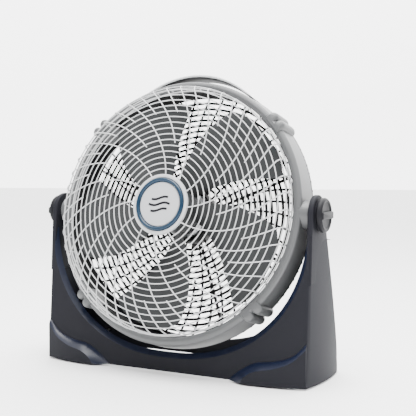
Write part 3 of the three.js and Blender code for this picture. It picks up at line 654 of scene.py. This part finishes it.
    def build_arms(self) -> None:
        """Round-topped arm plates that carry the tilt knobs."""
        for side in Side:
            shape = Shape()
            outline = []
            for a in (math.pi * k / 32 for k in range(33)):
                y = self.front_high * -math.cos(a)
                outline.append((y, PIVOT_HEIGHT + self.rear_high * math.sin(a)))
            low = PIVOT_HEIGHT - 120
            outline += [(self.front(low) + 1, low), (self.rear(low) - self.skin - 1, low)]
            near, far = self.arm_inner, self.arm_inner + self.arm_plate
            ends = sorted((side.value * near, side.value * far))
            shape.prism(outline, *ends, axis=Axis.X, edge=2.2, steps=3)
            collar = [(8, far - 1), (27, far - 1), (27, far + 1.2), (25.6, far + 2.2), (8, far + 2.2)]
            shape.turned(
                [(r, side.value * a) for r, a in rounded(collar, 0.8)], 64, axis=Axis.X,
                centre=(0, 0, PIVOT_HEIGHT))
            shape.piece(f"arm_{side.name.lower()}", [CHARCOAL], Body.BASE, IN_BASE)

    def foot_face(self, x: float) -> float:
        """Place of a front foot's face at a distance from the middle."""
        ramp_in, full = 127.0, 161.0
        if x < full:
            share = max(0.0, (x - ramp_in) / (full - ramp_in))
            return self.front_low - self.foot_step * share
        share = min(1.0, (x - full) / (self.half_width - 0.5 - full))
        return self.front_low - self.foot_step * (1 - share * share) - 1.5 * share * (1 - share)

    def build_feet(self) -> None:
        """Front feet that step forward under a glossy wave-shaped bevel."""
        crest = [(128, 3), (147, 19), (178, 37), (216, 44), (250, 56), (275.6, 80)]
        brow = [(158, 3), (167, 16), (186, 27), (222, 35), (252, 48), (275.6, 70)]
        for side in Side:
            shape = Shape()
            bevel, face = [], []
            for i in range(41):
                up, low = through(crest, i / 40), through(brow, i / 40)
                x = min(low.x, self.half_width - 0.4)
                back = self.front(up.y) + 0.5
                out = self.foot_face(x)
                bevel.append([
                    (side.value * (up.x + (x - up.x) * t), back + (out - back) * t ** 0.8,
                     up.y + (low.y - up.y) * t ** 1.25)
                    for t in (k / 5 for k in range(6))])
                bottom = self.floor_gap + 0.1
                face.append([
                    (side.value * x, out, low.y + (bottom - low.y) * k / 6) for k in range(7)])
            end = bevel[-1] + face[-1]
            shape.grid(bevel, finish=1)
            shape.grid(face)
            shape.grid([end, [(x, self.front(z) + 4, z) for x, _, z in end]])
            shape.piece(f"front_foot_{side.name.lower()}", [CHARCOAL, NAVY], Body.BASE, IN_BASE)

    def build_pads(self) -> None:
        """Ribbed rubber pads under the four corners."""
        for end, side in ((e, s) for e in ("front", "rear") for s in Side):
            node = f"foot_pad_{end}_{side.name.lower()}"
            low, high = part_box(node)
            middle = (low + high) / 2 / MM
            radius = (high.x - low.x) / 2 / MM
            height = (high.z - low.z) / MM
            profile = [(0, height), (radius, height), (radius, 1.2), (radius - 1.4, 0)]
            profile += [(radius - 3, 0), (radius - 3.6, 0.8), (radius - 5, 0.8), (radius - 5.6, 0)]
            profile += [(radius - 8, 0), (radius - 8.6, 0.8), (0, 0.8)]
            shape = Shape()
            shape.turned(
                profile, 48, axis=Axis.Z, centre=(middle.x, middle.y, low.z / MM), closed=False)
            shape.piece(f"pad_{end}_{side.name.lower()}", [RUBBER], Body.BASE,
                        Matrix.Scale(MM, 4), (node,))

    def build_screws(self) -> None:
        """Cross-head screws that hold the rear panel."""
        for i in range(1, 5):
            node = f"panel_screw_{i}"
            low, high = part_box(node)
            shape = cross_screw((high.x - low.x) / 2 / MM, (high.y - low.y) / MM)
            middle = Vector(((low.x + high.x) / 2, high.y, (low.z + high.z) / 2))
            place = Matrix.Translation(middle) @ Matrix.Scale(MM, 4)
            shape.piece(f"rear_screw_{i}", [STEEL], Body.BASE, place, (node,))

    def build(self) -> None:
        """Builds the whole base."""
        self.build_shell()
        self.build_rear_panel()
        self.build_arms()
        self.build_feet()
        self.build_pads()
        self.build_screws()


def cross_screw(radius: float, length: float) -> Shape:
    """A pan-head screw with a cross recess; its head's top is at y = 0.

    Args:
        radius: Head radius.
        length: Overall length.

    Returns:
        The shape.
    """
    shape = Shape()
    profile = [(0, -0.1), (radius * 0.55, -0.15), (radius * 0.9, -0.8), (radius, -1.6)]
    profile += [(radius, -2.2), (radius * 0.45, -2.2), (radius * 0.45, -length + 2), (0, -length)]
    shape.turned(profile, 24, closed=False)
    for turn in (0, 90):
        slot = shape.prism([(-2.2, -0.4), (2.2, -0.4), (2.2, 0.4), (-2.2, 0.4)], -0.5, 0.0, edge=0.1)
        shape.turn(slot, turn)
    return shape


# ---- Ring, handle and clamps ------------------------------------------------------------


@dataclass
class Ring:
    """The pale outer ring, its carry handle and the four rim clamps."""

    rear: float = 259.0
    ridge: float = 255.0
    lip: float = 239.0
    half_depth: float = 24.0
    crown: float = 4.0
    skin: float = 3.0
    boss: float = 26.0
    boss_face: float = 267.2
    handle_top: float = 278.0
    handle_reach: float = 136.0
    handle_grip: float = 5.0
    handle_front: float = -4.0
    handle_rear: float = 34.0
    slot_half: float = 114.0
    clamp_turns: tuple[float, ...] = (49, 135, 225, 311)
    hump: float = 10.0
    pitch: float = 21.0

    def build_ring(self) -> None:
        """The crowned ring with a boss on each side for the tilt bolts."""
        d = self.half_depth
        middle = (self.lip + self.ridge) / 2
        corners = [
            (self.lip, -d), (self.lip + 3, -d - 2.6), (middle, -d - self.crown),
            (self.ridge - 2, -d - 2.2), (self.ridge, -d + 0.5), (self.rear - 0.6, d - 3),
            (self.rear, d), (self.rear - self.skin, d), (self.ridge - self.skin, -d + 3),
            (middle, -d - 0.6), (self.lip + 2.5, -d + 3), (self.lip, -d + 3)]
        shape = Shape()
        shape.turned(rounded(corners, 1.6, 3), 192)
        for side in Side:
            inner, outer = self.ridge - 5, self.boss_face
            profile = [(8.4, inner), (self.boss + 1.5, inner), (self.boss, outer - 5)]
            profile += [(self.boss, outer), (18, outer), (17, outer - 1.2), (8.4, outer - 1.2)]
            shape.turned(
                [(r, side.value * a) for r, a in rounded(profile, 1.0)], 64, axis=Axis.X)
        shape.piece("outer_ring", [PALE], Body.HEAD, IN_HEAD, ("head_ring",))

    def build_handle(self) -> None:
        """A white arch over the ring, with painted shade on its underside under the grip: a dark
        material where the arch is only in shade.
        """
        meet = math.sqrt(self.rear ** 2 - self.handle_reach ** 2) - 2
        rise = self.handle_top - meet
        radius = (self.handle_reach ** 2 + rise ** 2) / (2 * rise)
        centre = self.handle_top - radius
        half = math.asin(self.handle_reach / radius)
        steps = 72
        rows = []
        for i in range(steps + 1):
            turn = -half + 2 * half * i / steps
            direction = Vector((math.sin(turn), math.cos(turn)))
            outer = Vector((0, centre)) + direction * radius
            in_slot = abs(outer.x) < self.slot_half
            fade = min(1.0, max(0.0, (self.slot_half + 8 - abs(outer.x)) / 8))
            seat = outer.normalized() * (self.rear + 0.2)
            lifted = Vector((0, centre)) + direction * (radius - self.handle_grip)
            under = seat.lerp(lifted, fade) if not in_slot else lifted
            if under.length < self.rear + 0.2:
                under = under.normalized() * (self.rear + 0.2)
            front, rear = self.handle_front, self.handle_rear
            thick = max((outer - under).length, 0.4)
            soft = min(1.6, thick * 0.4)
            inward = (under - outer).normalized() * soft
            rows.append([
                (*self.lay(outer, front + soft),), (*self.lay(outer, rear - soft),),
                (*self.lay(outer + inward * 0.3, rear - soft * 0.3),),
                (*self.lay(outer + inward, rear),), (*self.lay(under - inward, rear),),
                (*self.lay(under, rear - soft),), (*self.lay(under, front + soft),),
                (*self.lay(under - inward, front),), (*self.lay(outer + inward, front),),
                (*self.lay(outer + inward * 0.3, front + soft * 0.3),),
            ])
        shape = Shape()
        faces = shape.grid(rows, loop=True, ends=True)
        # Painted shade: faces under the grip slot that face into the arch get the dark material,
        # standing in for the shade there.
        for face in faces:
            middle = face.calc_center_median()
            face.normal_update()
            flat = Vector((middle.x, middle.z - centre))
            facing = abs(Vector((face.normal.x, face.normal.z)).normalized().dot(flat.normalized()))
            below = flat.length < radius - self.handle_grip * 0.6
            if below and abs(middle.x) < self.slot_half and abs(face.normal.y) < 0.4 and facing > 0.5:
                face.material_index = 1
        shape.piece("handle_arch", [WHITE, GRIP_PAINTED_SHADE], Body.HEAD, IN_HEAD, ("carry_handle",), 50)

    @staticmethod
    def lay(flat: Vector, y: float) -> tuple:
        """Stands a flat (x, z) point up at a depth."""
        return flat.x, y, flat.y

    def build_clamps(self) -> None:
        """Double-barrelled clamps that hook over the ring from front to rear."""
        d = self.half_depth
        front, rear = -d - self.crown - 3.6, d + 6.4
        reach = self.rear + 4 - self.hump / 2
        for index, turn in enumerate(self.clamp_turns, 1):
            shape = Shape()
            stations = 18
            rows = []
            for k in range(stations + 1):
                share = k / stations
                y = front + (rear - front) * share
                edge = 1 - (2 * share - 1) ** 8
                swell = 0.72 + 0.28 * edge ** 0.5
                sink = (1 - edge ** 0.5) * 5 + 2.5 * (1 - share)
                rows.append(self.clamp_section(y, reach - sink, swell))
            faces = shape.grid(rows, loop=True, ends=True)
            shape.turn(faces, turn)
            shape.piece(f"clamp_{index}", [PALE], Body.HEAD, IN_HEAD, (f"rim_clamp_{index}",), 40)

    def clamp_section(self, y: float, base: float, swell: float) -> list:
        """Two side-by-side humps over a flat foot.

        Args:
            y: Depth of this section.
            base: Height of the humps' centres.
            swell: Size of the humps against full size.

        Returns:
            The section's points.
        """
        radius = self.hump * swell
        foot = self.lip + 6
        points = []
        for side in (1, -1):
            centre = side * self.pitch / 2
            for k in range(13):
                a = math.pi * k / 12
                points.append((centre + radius * math.cos(a), y, base + radius * math.sin(a)))
        edge = self.pitch / 2 + radius
        return points + [(-edge, y, foot), (edge, y, foot)]

    def build(self) -> None:
        """Builds the ring, the handle and the clamps."""
        self.build_ring()
        self.build_handle()
        self.build_clamps()


# ---- Grilles ------------------------------------------------------------------------------


@dataclass
class FrontGrille:
    """The domed front grille of swirling ribs, with its hub ring and badge."""

    rim: float = 237.8
    front: float = 80.0
    hub: float = 56.0
    ring_pitch: float = 11.3
    wire: float = 2.1
    swirl: float = 46.0
    primary_ribs: int = 12
    badge: float = 50.0
    badge_rim: float = 8.0

    def dome(self) -> list[tuple[float, float]]:
        """The dome's section as (radius, distance ahead) pairs, from rim to hub."""
        side = self.rim + 1.2
        return [
            (self.rim - 1.3, 23), (self.rim - 0.4, 34), (side - 1.4, 46), (side - 4.5, 57),
            (side - 15, 67), (side - 50, 75), (side - 115, 79), (self.hub, self.front)]

    def at(self, share: float, degrees: float) -> Vector:
        """A point of the dome.

        Args:
            share: 0 at the rim, 1 at the hub ring.
            degrees: The rib's own angle, clockwise from the top.

        Returns:
            The point.
        """
        radius, ahead = through(self.dome(), share)
        turn = math.radians(degrees + self.swirl * (1 - radius / self.rim))
        return Vector((radius * math.sin(turn), -ahead, radius * math.cos(turn)))

    def share_at(self, radius: float) -> float:
        """Place along the dome of a radius on its front part."""
        low, high = 3 / 7, 1.0
        for _ in range(30):
            middle = (low + high) / 2
            if through(self.dome(), middle)[0] > radius:
                low = middle
            else:
                high = middle
        return low

    def build_cage(self) -> None:
        """Rings and ribs: twelve ribs reach the hub and more join them further out."""
        shape = Shape()
        circles = []
        radius = self.hub + self.ring_pitch
        while radius < self.rim - 6:
            circles.append(self.share_at(radius))
            radius += self.ring_pitch
        circles += [0.38, 0.2]
        for share in circles:
            r, ahead = through(self.dome(), share)
            loop = [
                Vector((r * math.sin(a), -ahead + 1.1, r * math.cos(a)))
                for a in (2 * math.pi * k / 120 for k in range(120))]
            shape.swept(loop, self.wire, self.wire, 6, loop=True)
        tiers = (
            (self.primary_ribs, 0.0, 1.0, 34), (self.primary_ribs, 0.5, self.share_at(118), 28),
            (2 * self.primary_ribs, 0.25, self.share_at(178), 20))
        for count, offset, end, steps in tiers:
            spacing = 360 / count
            shift = offset * 360 / self.primary_ribs
            for i in range(count):
                angle = i * spacing + shift
                path = [self.at(end * k / steps, angle) for k in range(steps + 1)]
                shape.swept(path, self.wire, self.wire + 0.6, 6)
        rim = [(self.rim - 2.4, -24.6), (self.rim, -24.6), (self.rim, -21.5), (self.rim - 2.4, -21.5)]
        shape.turned(rounded(rim, 0.8, 2), 160)
        hub = [
            (self.badge - 8, -self.front + 3), (self.badge - 8, -self.front + 1.5),
            (self.badge + 0.4, -self.front + 1.5), (self.badge + 0.4, -self.front - 2.2),
            (self.hub + 0.5, -self.front - 2.2), (self.hub + 1.5, -self.front + 3.2)]
        shape.turned(rounded(hub, 1.2), 96)
        shape.piece("grille_cage", [GRILLE], Body.HEAD, IN_HEAD, ("front_grille",), 50)

    def build_badge(self) -> None:
        """A glossy blue rim round a silver disc with a plain airflow motif."""
        back = -self.front + 1.2
        inner = self.badge - self.badge_rim
        rim = [
            (inner, back), (self.badge, back), (self.badge, back - 4.5), (self.badge - 3, back - 7),
            (inner + 2.2, back - 6.2), (inner, back - 3.4)]
        shape = Shape()
        shape.turned(rounded(rim, 1.8, 4), 128)
        shape.piece("badge_ring", [BLUE], Body.HEAD, IN_HEAD, ("badge_rim",), 50)

        face = [
            (0, back), (inner - 0.3, back), (inner - 0.3, back - 3), (inner - 2, back - 4),
            (0, back - 4.4)]
        shape = Shape()
        shape.turned(rounded(face, 1.0, 3, closed=False), 96, closed=False)
        for row, half in ((11, 17), (0, 22), (-11, 17)):
            path = [
                Vector((x, back - 4.5, row + 2.6 * math.sin(x / 22 * math.pi)))
                for x in (-half + 2 * half * k / 28 for k in range(29))]
            shape.swept(path, 4.4, 0.9, 8, finish=1)
        shape.piece("badge_face", [SILVER, INK], Body.HEAD, IN_HEAD, ("badge_disc",), 50)

    def build(self) -> None:
        """Builds the cage and the badge."""
        self.build_cage()
        self.build_badge()


@dataclass
class RearGrille:
    """The black shroud, its fine rear wires and the motor cup."""

    shroud: float = 250.0
    rim: float = 259.0
    shroud_front: float = 15.0
    depth: float = 58.0
    fullness: float = 4.0
    skirt: float = 245.0
    skirt_rear: float = 44.0
    flange: float = 24.3
    cup: float = 53.0
    cup_front: float = 24.0
    cup_floor: float = 58.0
    struts: int = 8
    pitch: float = 11.4
    ring_wire: float = 5.4
    spoke_wire: float = 4.6
    wire_depth: float = 2.8

    def sag(self, radius: float) -> float:
        """Place of the rear wires at a radius."""
        share = min(1.0, max(0.0, (radius - self.cup) / (self.skirt - self.cup)))
        rise = (1 - share ** self.fullness) ** (1 / self.fullness)
        rim = self.skirt_rear - 2
        return rim + (self.depth - rim) * rise

    def spoke(self, angle: float, lean: float, start: float, steps: int) -> list:
        """Path of a wire or strut from the cup to the shroud.

        Args:
            angle: Its direction at the cup, in radians.
            lean: How far it leans sideways at the shroud, in radians.
            start: Radius where it starts.
            steps: Spans along it.

        Returns:
            The path.
        """
        path = []
        for k in range(steps + 1):
            radius = start + (self.skirt - 0.6 - start) * math.sin(k / steps * math.pi / 2)
            turn = angle + lean * (radius / self.skirt) ** 2
            path.append(Vector((radius * math.sin(turn), self.sag(radius), radius * math.cos(turn))))
        return path

    def build(self) -> None:
        """Builds the shroud, the wires and the cup as one moulding."""
        shape = Shape()
        shroud = [
            (self.shroud - 2.5, -self.shroud_front), (self.shroud, -self.shroud_front),
            (self.shroud, self.flange), (self.rim, self.flange), (self.rim, self.flange + 3),
            (self.shroud, self.flange + 3), (self.skirt, self.skirt_rear),
            (self.skirt - 2.5, self.skirt_rear), (self.shroud - 2.5, self.flange + 3)]
        shape.turned(rounded(shroud, 0.7, 2), 160)
        cup = [
            (self.cup - 3, self.cup_front), (self.cup, self.cup_front),
            (self.cup, self.cup_floor + 3), (10, self.cup_floor + 3), (10, self.cup_floor),
            (self.cup - 3, self.cup_floor)]
        shape.turned(rounded(cup, 1.2, 2), 80)
        radius = self.cup + self.pitch
        while radius < self.skirt - 4:
            y = self.sag(radius)
            loop = [
                Vector((radius * math.sin(a), y - 1.6, radius * math.cos(a)))
                for a in (2 * math.pi * k / 96 for k in range(96))]
            shape.swept(loop, self.ring_wire, self.wire_depth, 6, loop=True)
            radius += self.pitch
        for i in range(self.struts):
            angle = (i + 0.5) * 2 * math.pi / self.struts
            shape.swept(self.spoke(angle, 0.0, self.cup - 1, 14), 6, 4.6, 8)
        wires = self.struts * 6
        for i in range(wires):
            angle = (i + 0.5) * 2 * math.pi / wires
            start = self.cup - 1 if i % 2 else 0.5 * self.shroud
            shape.swept(self.spoke(angle, 0.24, start, 16), self.spoke_wire, self.wire_depth, 6)
        teeth = 96
        for i in range(teeth):
            angle = 360 * i / teeth
            tooth = shape.prism(
                [(-2.2, self.shroud - 1), (2.2, self.shroud - 1),
                 (1.5, self.rim - 0.2), (-1.5, self.rim - 0.2)],
                self.flange + 2.6, self.flange + 5.2)
            shape.turn(tooth, angle)
        shape.piece("rear_guard", [BLACK], Body.HEAD, IN_HEAD, ("rear_grille",), 45)


# ---- Impeller -------------------------------------------------------------------------------


@dataclass
class Impeller:
    """Five broad twisted blades on a hollow hub, with the nut that clamps them."""

    blades: int = 5
    tip: float = 224.0
    root: float = 38.0
    span: float = 52.0
    phase: float = 25.0
    sweep: float = 24.0
    rise: float = 36.0
    thickness: float = 2.6
    hub: float = 41.0
    hub_front: float = 36.0
    hub_rear: float = 8.0
    bore: float = 4.3

    def surface(self, u: float, v: float, index: int, lift: float) -> Vector:
        """A point of a blade.

        Args:
            u: 0 at the root, 1 at the tip.
            v: -0.5 to 0.5 across the blade.
            index: Which blade.
            lift: Offset along the axis.

        Returns:
            The point.
        """
        radius = self.root + (self.tip - self.root) * (u - 0.06 * u * (2 * v) ** 4)
        width = self.span * (0.72 + 0.56 * u - 0.42 * u * u)
        turn = math.radians(self.phase + index * 360 / self.blades + self.sweep * u + width * v)
        axial = -14 + self.rise * (1 - 0.25 * u) * v + 6 * u * (2 * v) ** 2 + lift
        return Vector((radius * math.sin(turn), axial, radius * math.cos(turn)))

    def build_blades(self, shape: Shape) -> None:
        """Adds the blades, thin towards their rounded edges.

        Args:
            shape: The mesh to add them to.
        """
        along, across = 26, 14
        for index in range(self.blades):
            rows = []
            for i in range(along + 1):
                u = 0.01 + 0.99 * i / along
                thin = self.thickness / 2 * (1 if i < along else 0.25)
                front, back = [], []
                for j in range(across + 1):
                    v = 0.5 * math.sin(math.pi * (j / across - 0.5))
                    lift = thin * math.sqrt(max(0.04, 1 - (2 * v) ** 6))
                    front.append(self.surface(u, v, index, -lift))
                    back.append(self.surface(u, v, index, lift))
                rows.append(front + back[::-1])
            shape.grid(rows, loop=True, ends=True)

    def build(self) -> None:
        """Builds the hub, the blades and the nut."""
        shape = Shape()
        front, rear = -self.hub_front, self.hub_rear
        hub = [
            (self.bore, front), (self.hub - 9, front), (self.hub - 2.5, front + 3),
            (self.hub, front + 9), (self.hub, rear), (self.hub - 3.5, rear),
            (self.hub - 3.5, front + 10), (self.hub - 10, front + 3.5), (9, front + 3.5),
            (9, rear), (self.bore, rear)]
        shape.turned(rounded(hub, 2.0, 4), 96)
        self.build_blades(shape)
        shape.piece("fan_blades", [BLADE], Body.ROTOR, IN_HEAD, ("impeller",), 50)

        nut = Shape()
        face = front - 0.3
        profile = [(self.bore, face), (15, face), (15, face - 4), (10, face - 9), (self.bore, face - 9)]
        nut.turned(rounded(profile, 1.2), 48)
        for k in range(6):
            rib = nut.prism([(-1.3, 11), (1.3, 11), (1.3, 15.6), (-1.3, 15.6)], face - 4, face, edge=0.3)
            nut.turn(rib, 60 * k)
        nut.piece("blade_nut", [BLACK], Body.ROTOR, IN_HEAD, ("impeller_nut",))


# ---- Controls and knobs -----------------------------------------------------------------------


@dataclass
class Controls:
    """The rear control housing with its speed knob and cord gland."""

    radius: float = 50.0
    front: float = 61.3
    rear: float = 86.0
    knob_face: float = 98.0
    knob: float = 19.0
    gland: float = 7.0

    def build_housing(self) -> None:
        """A dished cover with ribs round its side and speed marks."""
        shape = Shape()
        wall = 3.0
        profile = [
            (self.radius - wall, self.front), (self.radius, self.front),
            (self.radius, self.rear - 8), (self.radius - 8, self.rear), (4.0, self.rear),
            (4.0, self.rear - wall), (self.radius - 9, self.rear - wall),
            (self.radius - wall, self.rear - 9)]
        shape.turned(rounded(profile, 2.4, 4), 96)
        for k in range(24):
            rib = shape.prism(
                [(-1.2, self.radius - 1), (1.2, self.radius - 1), (1.2, self.radius - 0.1),
                 (-1.2, self.radius - 0.1)], self.front + 4, self.rear - 9, edge=0.3)
            shape.turn(rib, 15 * k)
        for k in range(4):
            mark = shape.prism(
                [(-0.7, 23), (0.7, 23), (0.7, 27), (-0.7, 27)], self.rear - 0.4, self.rear + 0.25,
                finish=1)
            shape.turn(mark, 45 * k)
        shape.piece("control_cover", [BLACK, WHITE], Body.HEAD, IN_HEAD, ("control_housing",))

    def build_knob(self) -> None:
        """The fluted speed knob with a raised pointer bar."""
        shape = Shape()
        skirt = self.rear + 0.5
        flutes = 24
        rows = []
        profile = rounded(
            [(3.4, skirt), (self.knob, skirt), (self.knob, skirt + 3),
             (self.knob - 2, self.knob_face - 1.5), (self.knob - 3.5, self.knob_face),
             (0.05, self.knob_face)],
            0.8, 3, closed=False)
        for r, a in profile:
            row = []
            for k in range(flutes * 4):
                turn = 2 * math.pi * k / (flutes * 4)
                dent = 0.35 * (1 - math.cos(turn * flutes)) if skirt + 3 < a < self.knob_face - 1 else 0
                reach = max(r - dent, 0.05)
                row.append((reach * math.sin(turn), a, reach * math.cos(turn)))
            rows.append(row)
        shape.grid(rows, loop=True)
        bar = rounded([(-2.5, -14.8), (2.5, -14.8), (2.5, 14.8), (-2.5, 14.8)], 1.6, 3)
        shape.prism(bar, self.knob_face - 3, self.knob_face + 3.9, edge=0.8)
        mark = [(-0.5, 4), (0.5, 4), (0.5, 13), (-0.5, 13)]
        shape.prism(mark, self.knob_face + 3.5, self.knob_face + 4.0, finish=1)
        shape.piece("speed_selector", [KNOB, WHITE], Body.SELECTOR, IN_HEAD, ("speed_knob",))

    def build_gland(self) -> None:
        """The ribbed rubber gland where the supply cord enters."""
        shape = Shape()
        y = (self.front - 0.3 + self.rear) / 2
        top = -self.radius - 1.5
        bore = 3.6
        profile = [(bore, top + 9), (self.gland - 2, top + 9), (self.gland - 2, top), (self.gland, top)]
        for k in range(4):
            at = top - 2 - 2.6 * k
            size = self.gland - 0.4 - 0.9 * k
            profile += [(size, at), (size, at - 1.3), (size - 1.3, at - 1.5)]
        profile += [(self.gland - 3.0, top - 12.5), (bore, top - 12.5)]
        shape.turned(profile, 40, axis=Axis.Z, centre=(0, y, 0))
        shape.piece("gland_boot", [RUBBER], Body.HEAD, IN_HEAD, ("cord_gland",))

    def build(self) -> None:
        """Builds the rear controls."""
        self.build_housing()
        self.build_knob()
        self.build_gland()


@dataclass
class TiltKnob:
    """A round tilt knob with a proud grip bar, one at each arm."""

    side: Side
    radius: float = 31.0
    inner: float = 284.0
    outer: float = 295.0
    neck_start: float = 280.3
    bar: float = 13.0
    proud: float = 2.0

    def build(self) -> None:
        """Builds the knob on its own body."""
        s = self.side.value
        name = self.side.name.lower()
        shape = Shape()
        face = self.outer
        profile = [
            (5, self.neck_start), (15, self.neck_start), (16, self.inner), (self.radius - 1, self.inner),
            (self.radius, self.inner + 2), (self.radius, face - 4), (self.radius - 3, face - 0.6),
            (self.radius - 6, face - 1), (self.radius - 8, face - 3.2), (0, face - 3.2),
            (0, face - 5), (5, face - 5)]
        shape.turned(
            [(r, s * a) for r, a in rounded(profile, 1.2, 3)], 72, axis=Axis.X,
            centre=(0, 0, PIVOT_HEIGHT))
        half, reach = self.bar / 2, self.radius - 2.2
        outline = rounded([
            (-reach, PIVOT_HEIGHT - half), (reach, PIVOT_HEIGHT - half),
            (reach, PIVOT_HEIGHT + half), (-reach, PIVOT_HEIGHT + half)], 3.0, 4)
        ends = sorted((s * (face - 5), s * (face + self.proud)))
        shape.prism(outline, *ends, axis=Axis.X, edge=1.6, steps=3)
        body = Body.LEFT_KNOB if self.side is Side.LEFT else Body.RIGHT_KNOB
        shape.piece(f"tilt_grip_{name}", [KNOB], body, IN_BASE, (f"tilt_knob_{name}",))


def dress_carried_over() -> None:
    """Gives each frame node that stays visible its own finish."""
    for node, finish in CARRIED_OVER.items():
        piece = frame["nodes"][node]
        piece.data.materials.clear()
        piece.data.materials.append(finish.material())
        for polygon in piece.data.polygons:
            polygon.material_index = 0
        log.info("%s keeps its frame shape in %s", node, finish.name)


# ---- Stage ---------------------------------------------------------------------------------


@dataclass
class Studio:
    """A pale floor, soft lights and the camera."""

    floor_colour: tuple[float, float, float] = (0.9, 0.9, 0.9)
    room: float = 0.62
    backdrop: float = 5.5
    ceiling: float = 3.0
    lens: float = 66.6
    camera_from_pivot: tuple[float, float, float] = (0.7197, -1.299, 0.0606)
    target_from_pivot: tuple[float, float, float] = (0.0573, 0.004, 0.0093)

    def build_floor(self) -> None:
        """A wide pale floor that the fan stands on."""
        bm = bmesh.new()
        bmesh.ops.create_grid(bm, x_segments=4, y_segments=4, size=30.0)
        mesh = bpy.data.meshes.new("studio_floor")
        bm.to_mesh(mesh)
        bm.free()
        floor = bpy.data.objects.new("studio_floor", mesh)
        bpy.context.scene.collection.objects.link(floor)
        paint = Finish("studio_floor_paint", "none", self.floor_colour, 0.7, mottle=0.0, grain=0.0)
        mesh.materials.append(paint.material())

    def add_light(self, name: str, place: tuple, size: float, power: float) -> None:
        """Adds a large soft lamp aimed at the fan.

        Args:
            name: The lamp's name.
            place: Where it stands.
            size: Side of its square face.
            power: Its power in watts.
        """
        data = bpy.data.lights.new(name, "AREA")
        data.shape = "SQUARE"
        data.size = size
        data.energy = power
        lamp = bpy.data.objects.new(name, data)
        lamp.location = place
        aim = PIVOT - Vector(place)
        lamp.rotation_euler = aim.to_track_quat("-Z", "Y").to_euler()
        bpy.context.scene.collection.objects.link(lamp)

    def build_lights(self) -> None:
        """A bright even room, a top light and a key from the upper right."""
        world = bpy.data.worlds.new("studio_room")
        world.use_nodes = True
        nodes, links = world.node_tree.nodes, world.node_tree.links
        sky = nodes["Background"]
        sky.inputs["Color"].default_value = (1, 1, 1, 1)
        place = nodes.new("ShaderNodeTexCoord")
        parts = nodes.new("ShaderNodeSeparateXYZ")
        links.new(place.outputs["Generated"], parts.inputs["Vector"])
        backdrop = nodes.new("ShaderNodeMapRange")
        backdrop.interpolation_type = "SMOOTHSTEP"
        for label, value in (
                ("From Min", 0.15), ("From Max", 0.65),
                ("To Min", self.room), ("To Max", self.backdrop)):
            backdrop.inputs[label].default_value = value
        links.new(parts.outputs["Y"], backdrop.inputs["Value"])
        ceiling = nodes.new("ShaderNodeMapRange")
        for label, value in (
                ("From Min", 0.1), ("From Max", 1.0), ("To Min", 0.0), ("To Max", self.ceiling)):
            ceiling.inputs[label].default_value = value
        links.new(parts.outputs["Z"], ceiling.inputs["Value"])
        total = nodes.new("ShaderNodeMath")
        total.operation = "ADD"
        links.new(backdrop.outputs["Result"], total.inputs[0])
        links.new(ceiling.outputs["Result"], total.inputs[1])
        links.new(total.outputs[0], sky.inputs["Strength"])
        bpy.context.scene.world = world
        self.add_light("top_light", (0.2, -0.2, 2.6), 2.0, 190)
        self.add_light("key_light", (1.6, -1.8, 2.4), 1.0, 9)

    def build_camera(self) -> None:
        """A slightly raised view from the right of the front."""
        data = bpy.data.cameras.new("camera")
        data.lens = self.lens
        camera = bpy.data.objects.new("camera", data)
        camera.location = PIVOT + Vector(self.camera_from_pivot)
        aim = Vector(self.target_from_pivot) - Vector(self.camera_from_pivot)
        camera.rotation_euler = aim.to_track_quat("-Z", "Y").to_euler()
        bpy.context.scene.collection.objects.link(camera)
        bpy.context.scene.camera = camera

    def build(self) -> None:
        """Sets the stage."""
        self.build_floor()
        self.build_lights()
        self.build_camera()


def main() -> None:
    """Builds every sub-assembly of the fan and the stage round it."""
    Base().build()
    Ring().build()
    FrontGrille().build()
    RearGrille().build()
    Impeller().build()
    Controls().build()
    for side in Side:
        TiltKnob(side).build()
    dress_carried_over()
    Studio().build()


if __name__ == "__main__":
    main()
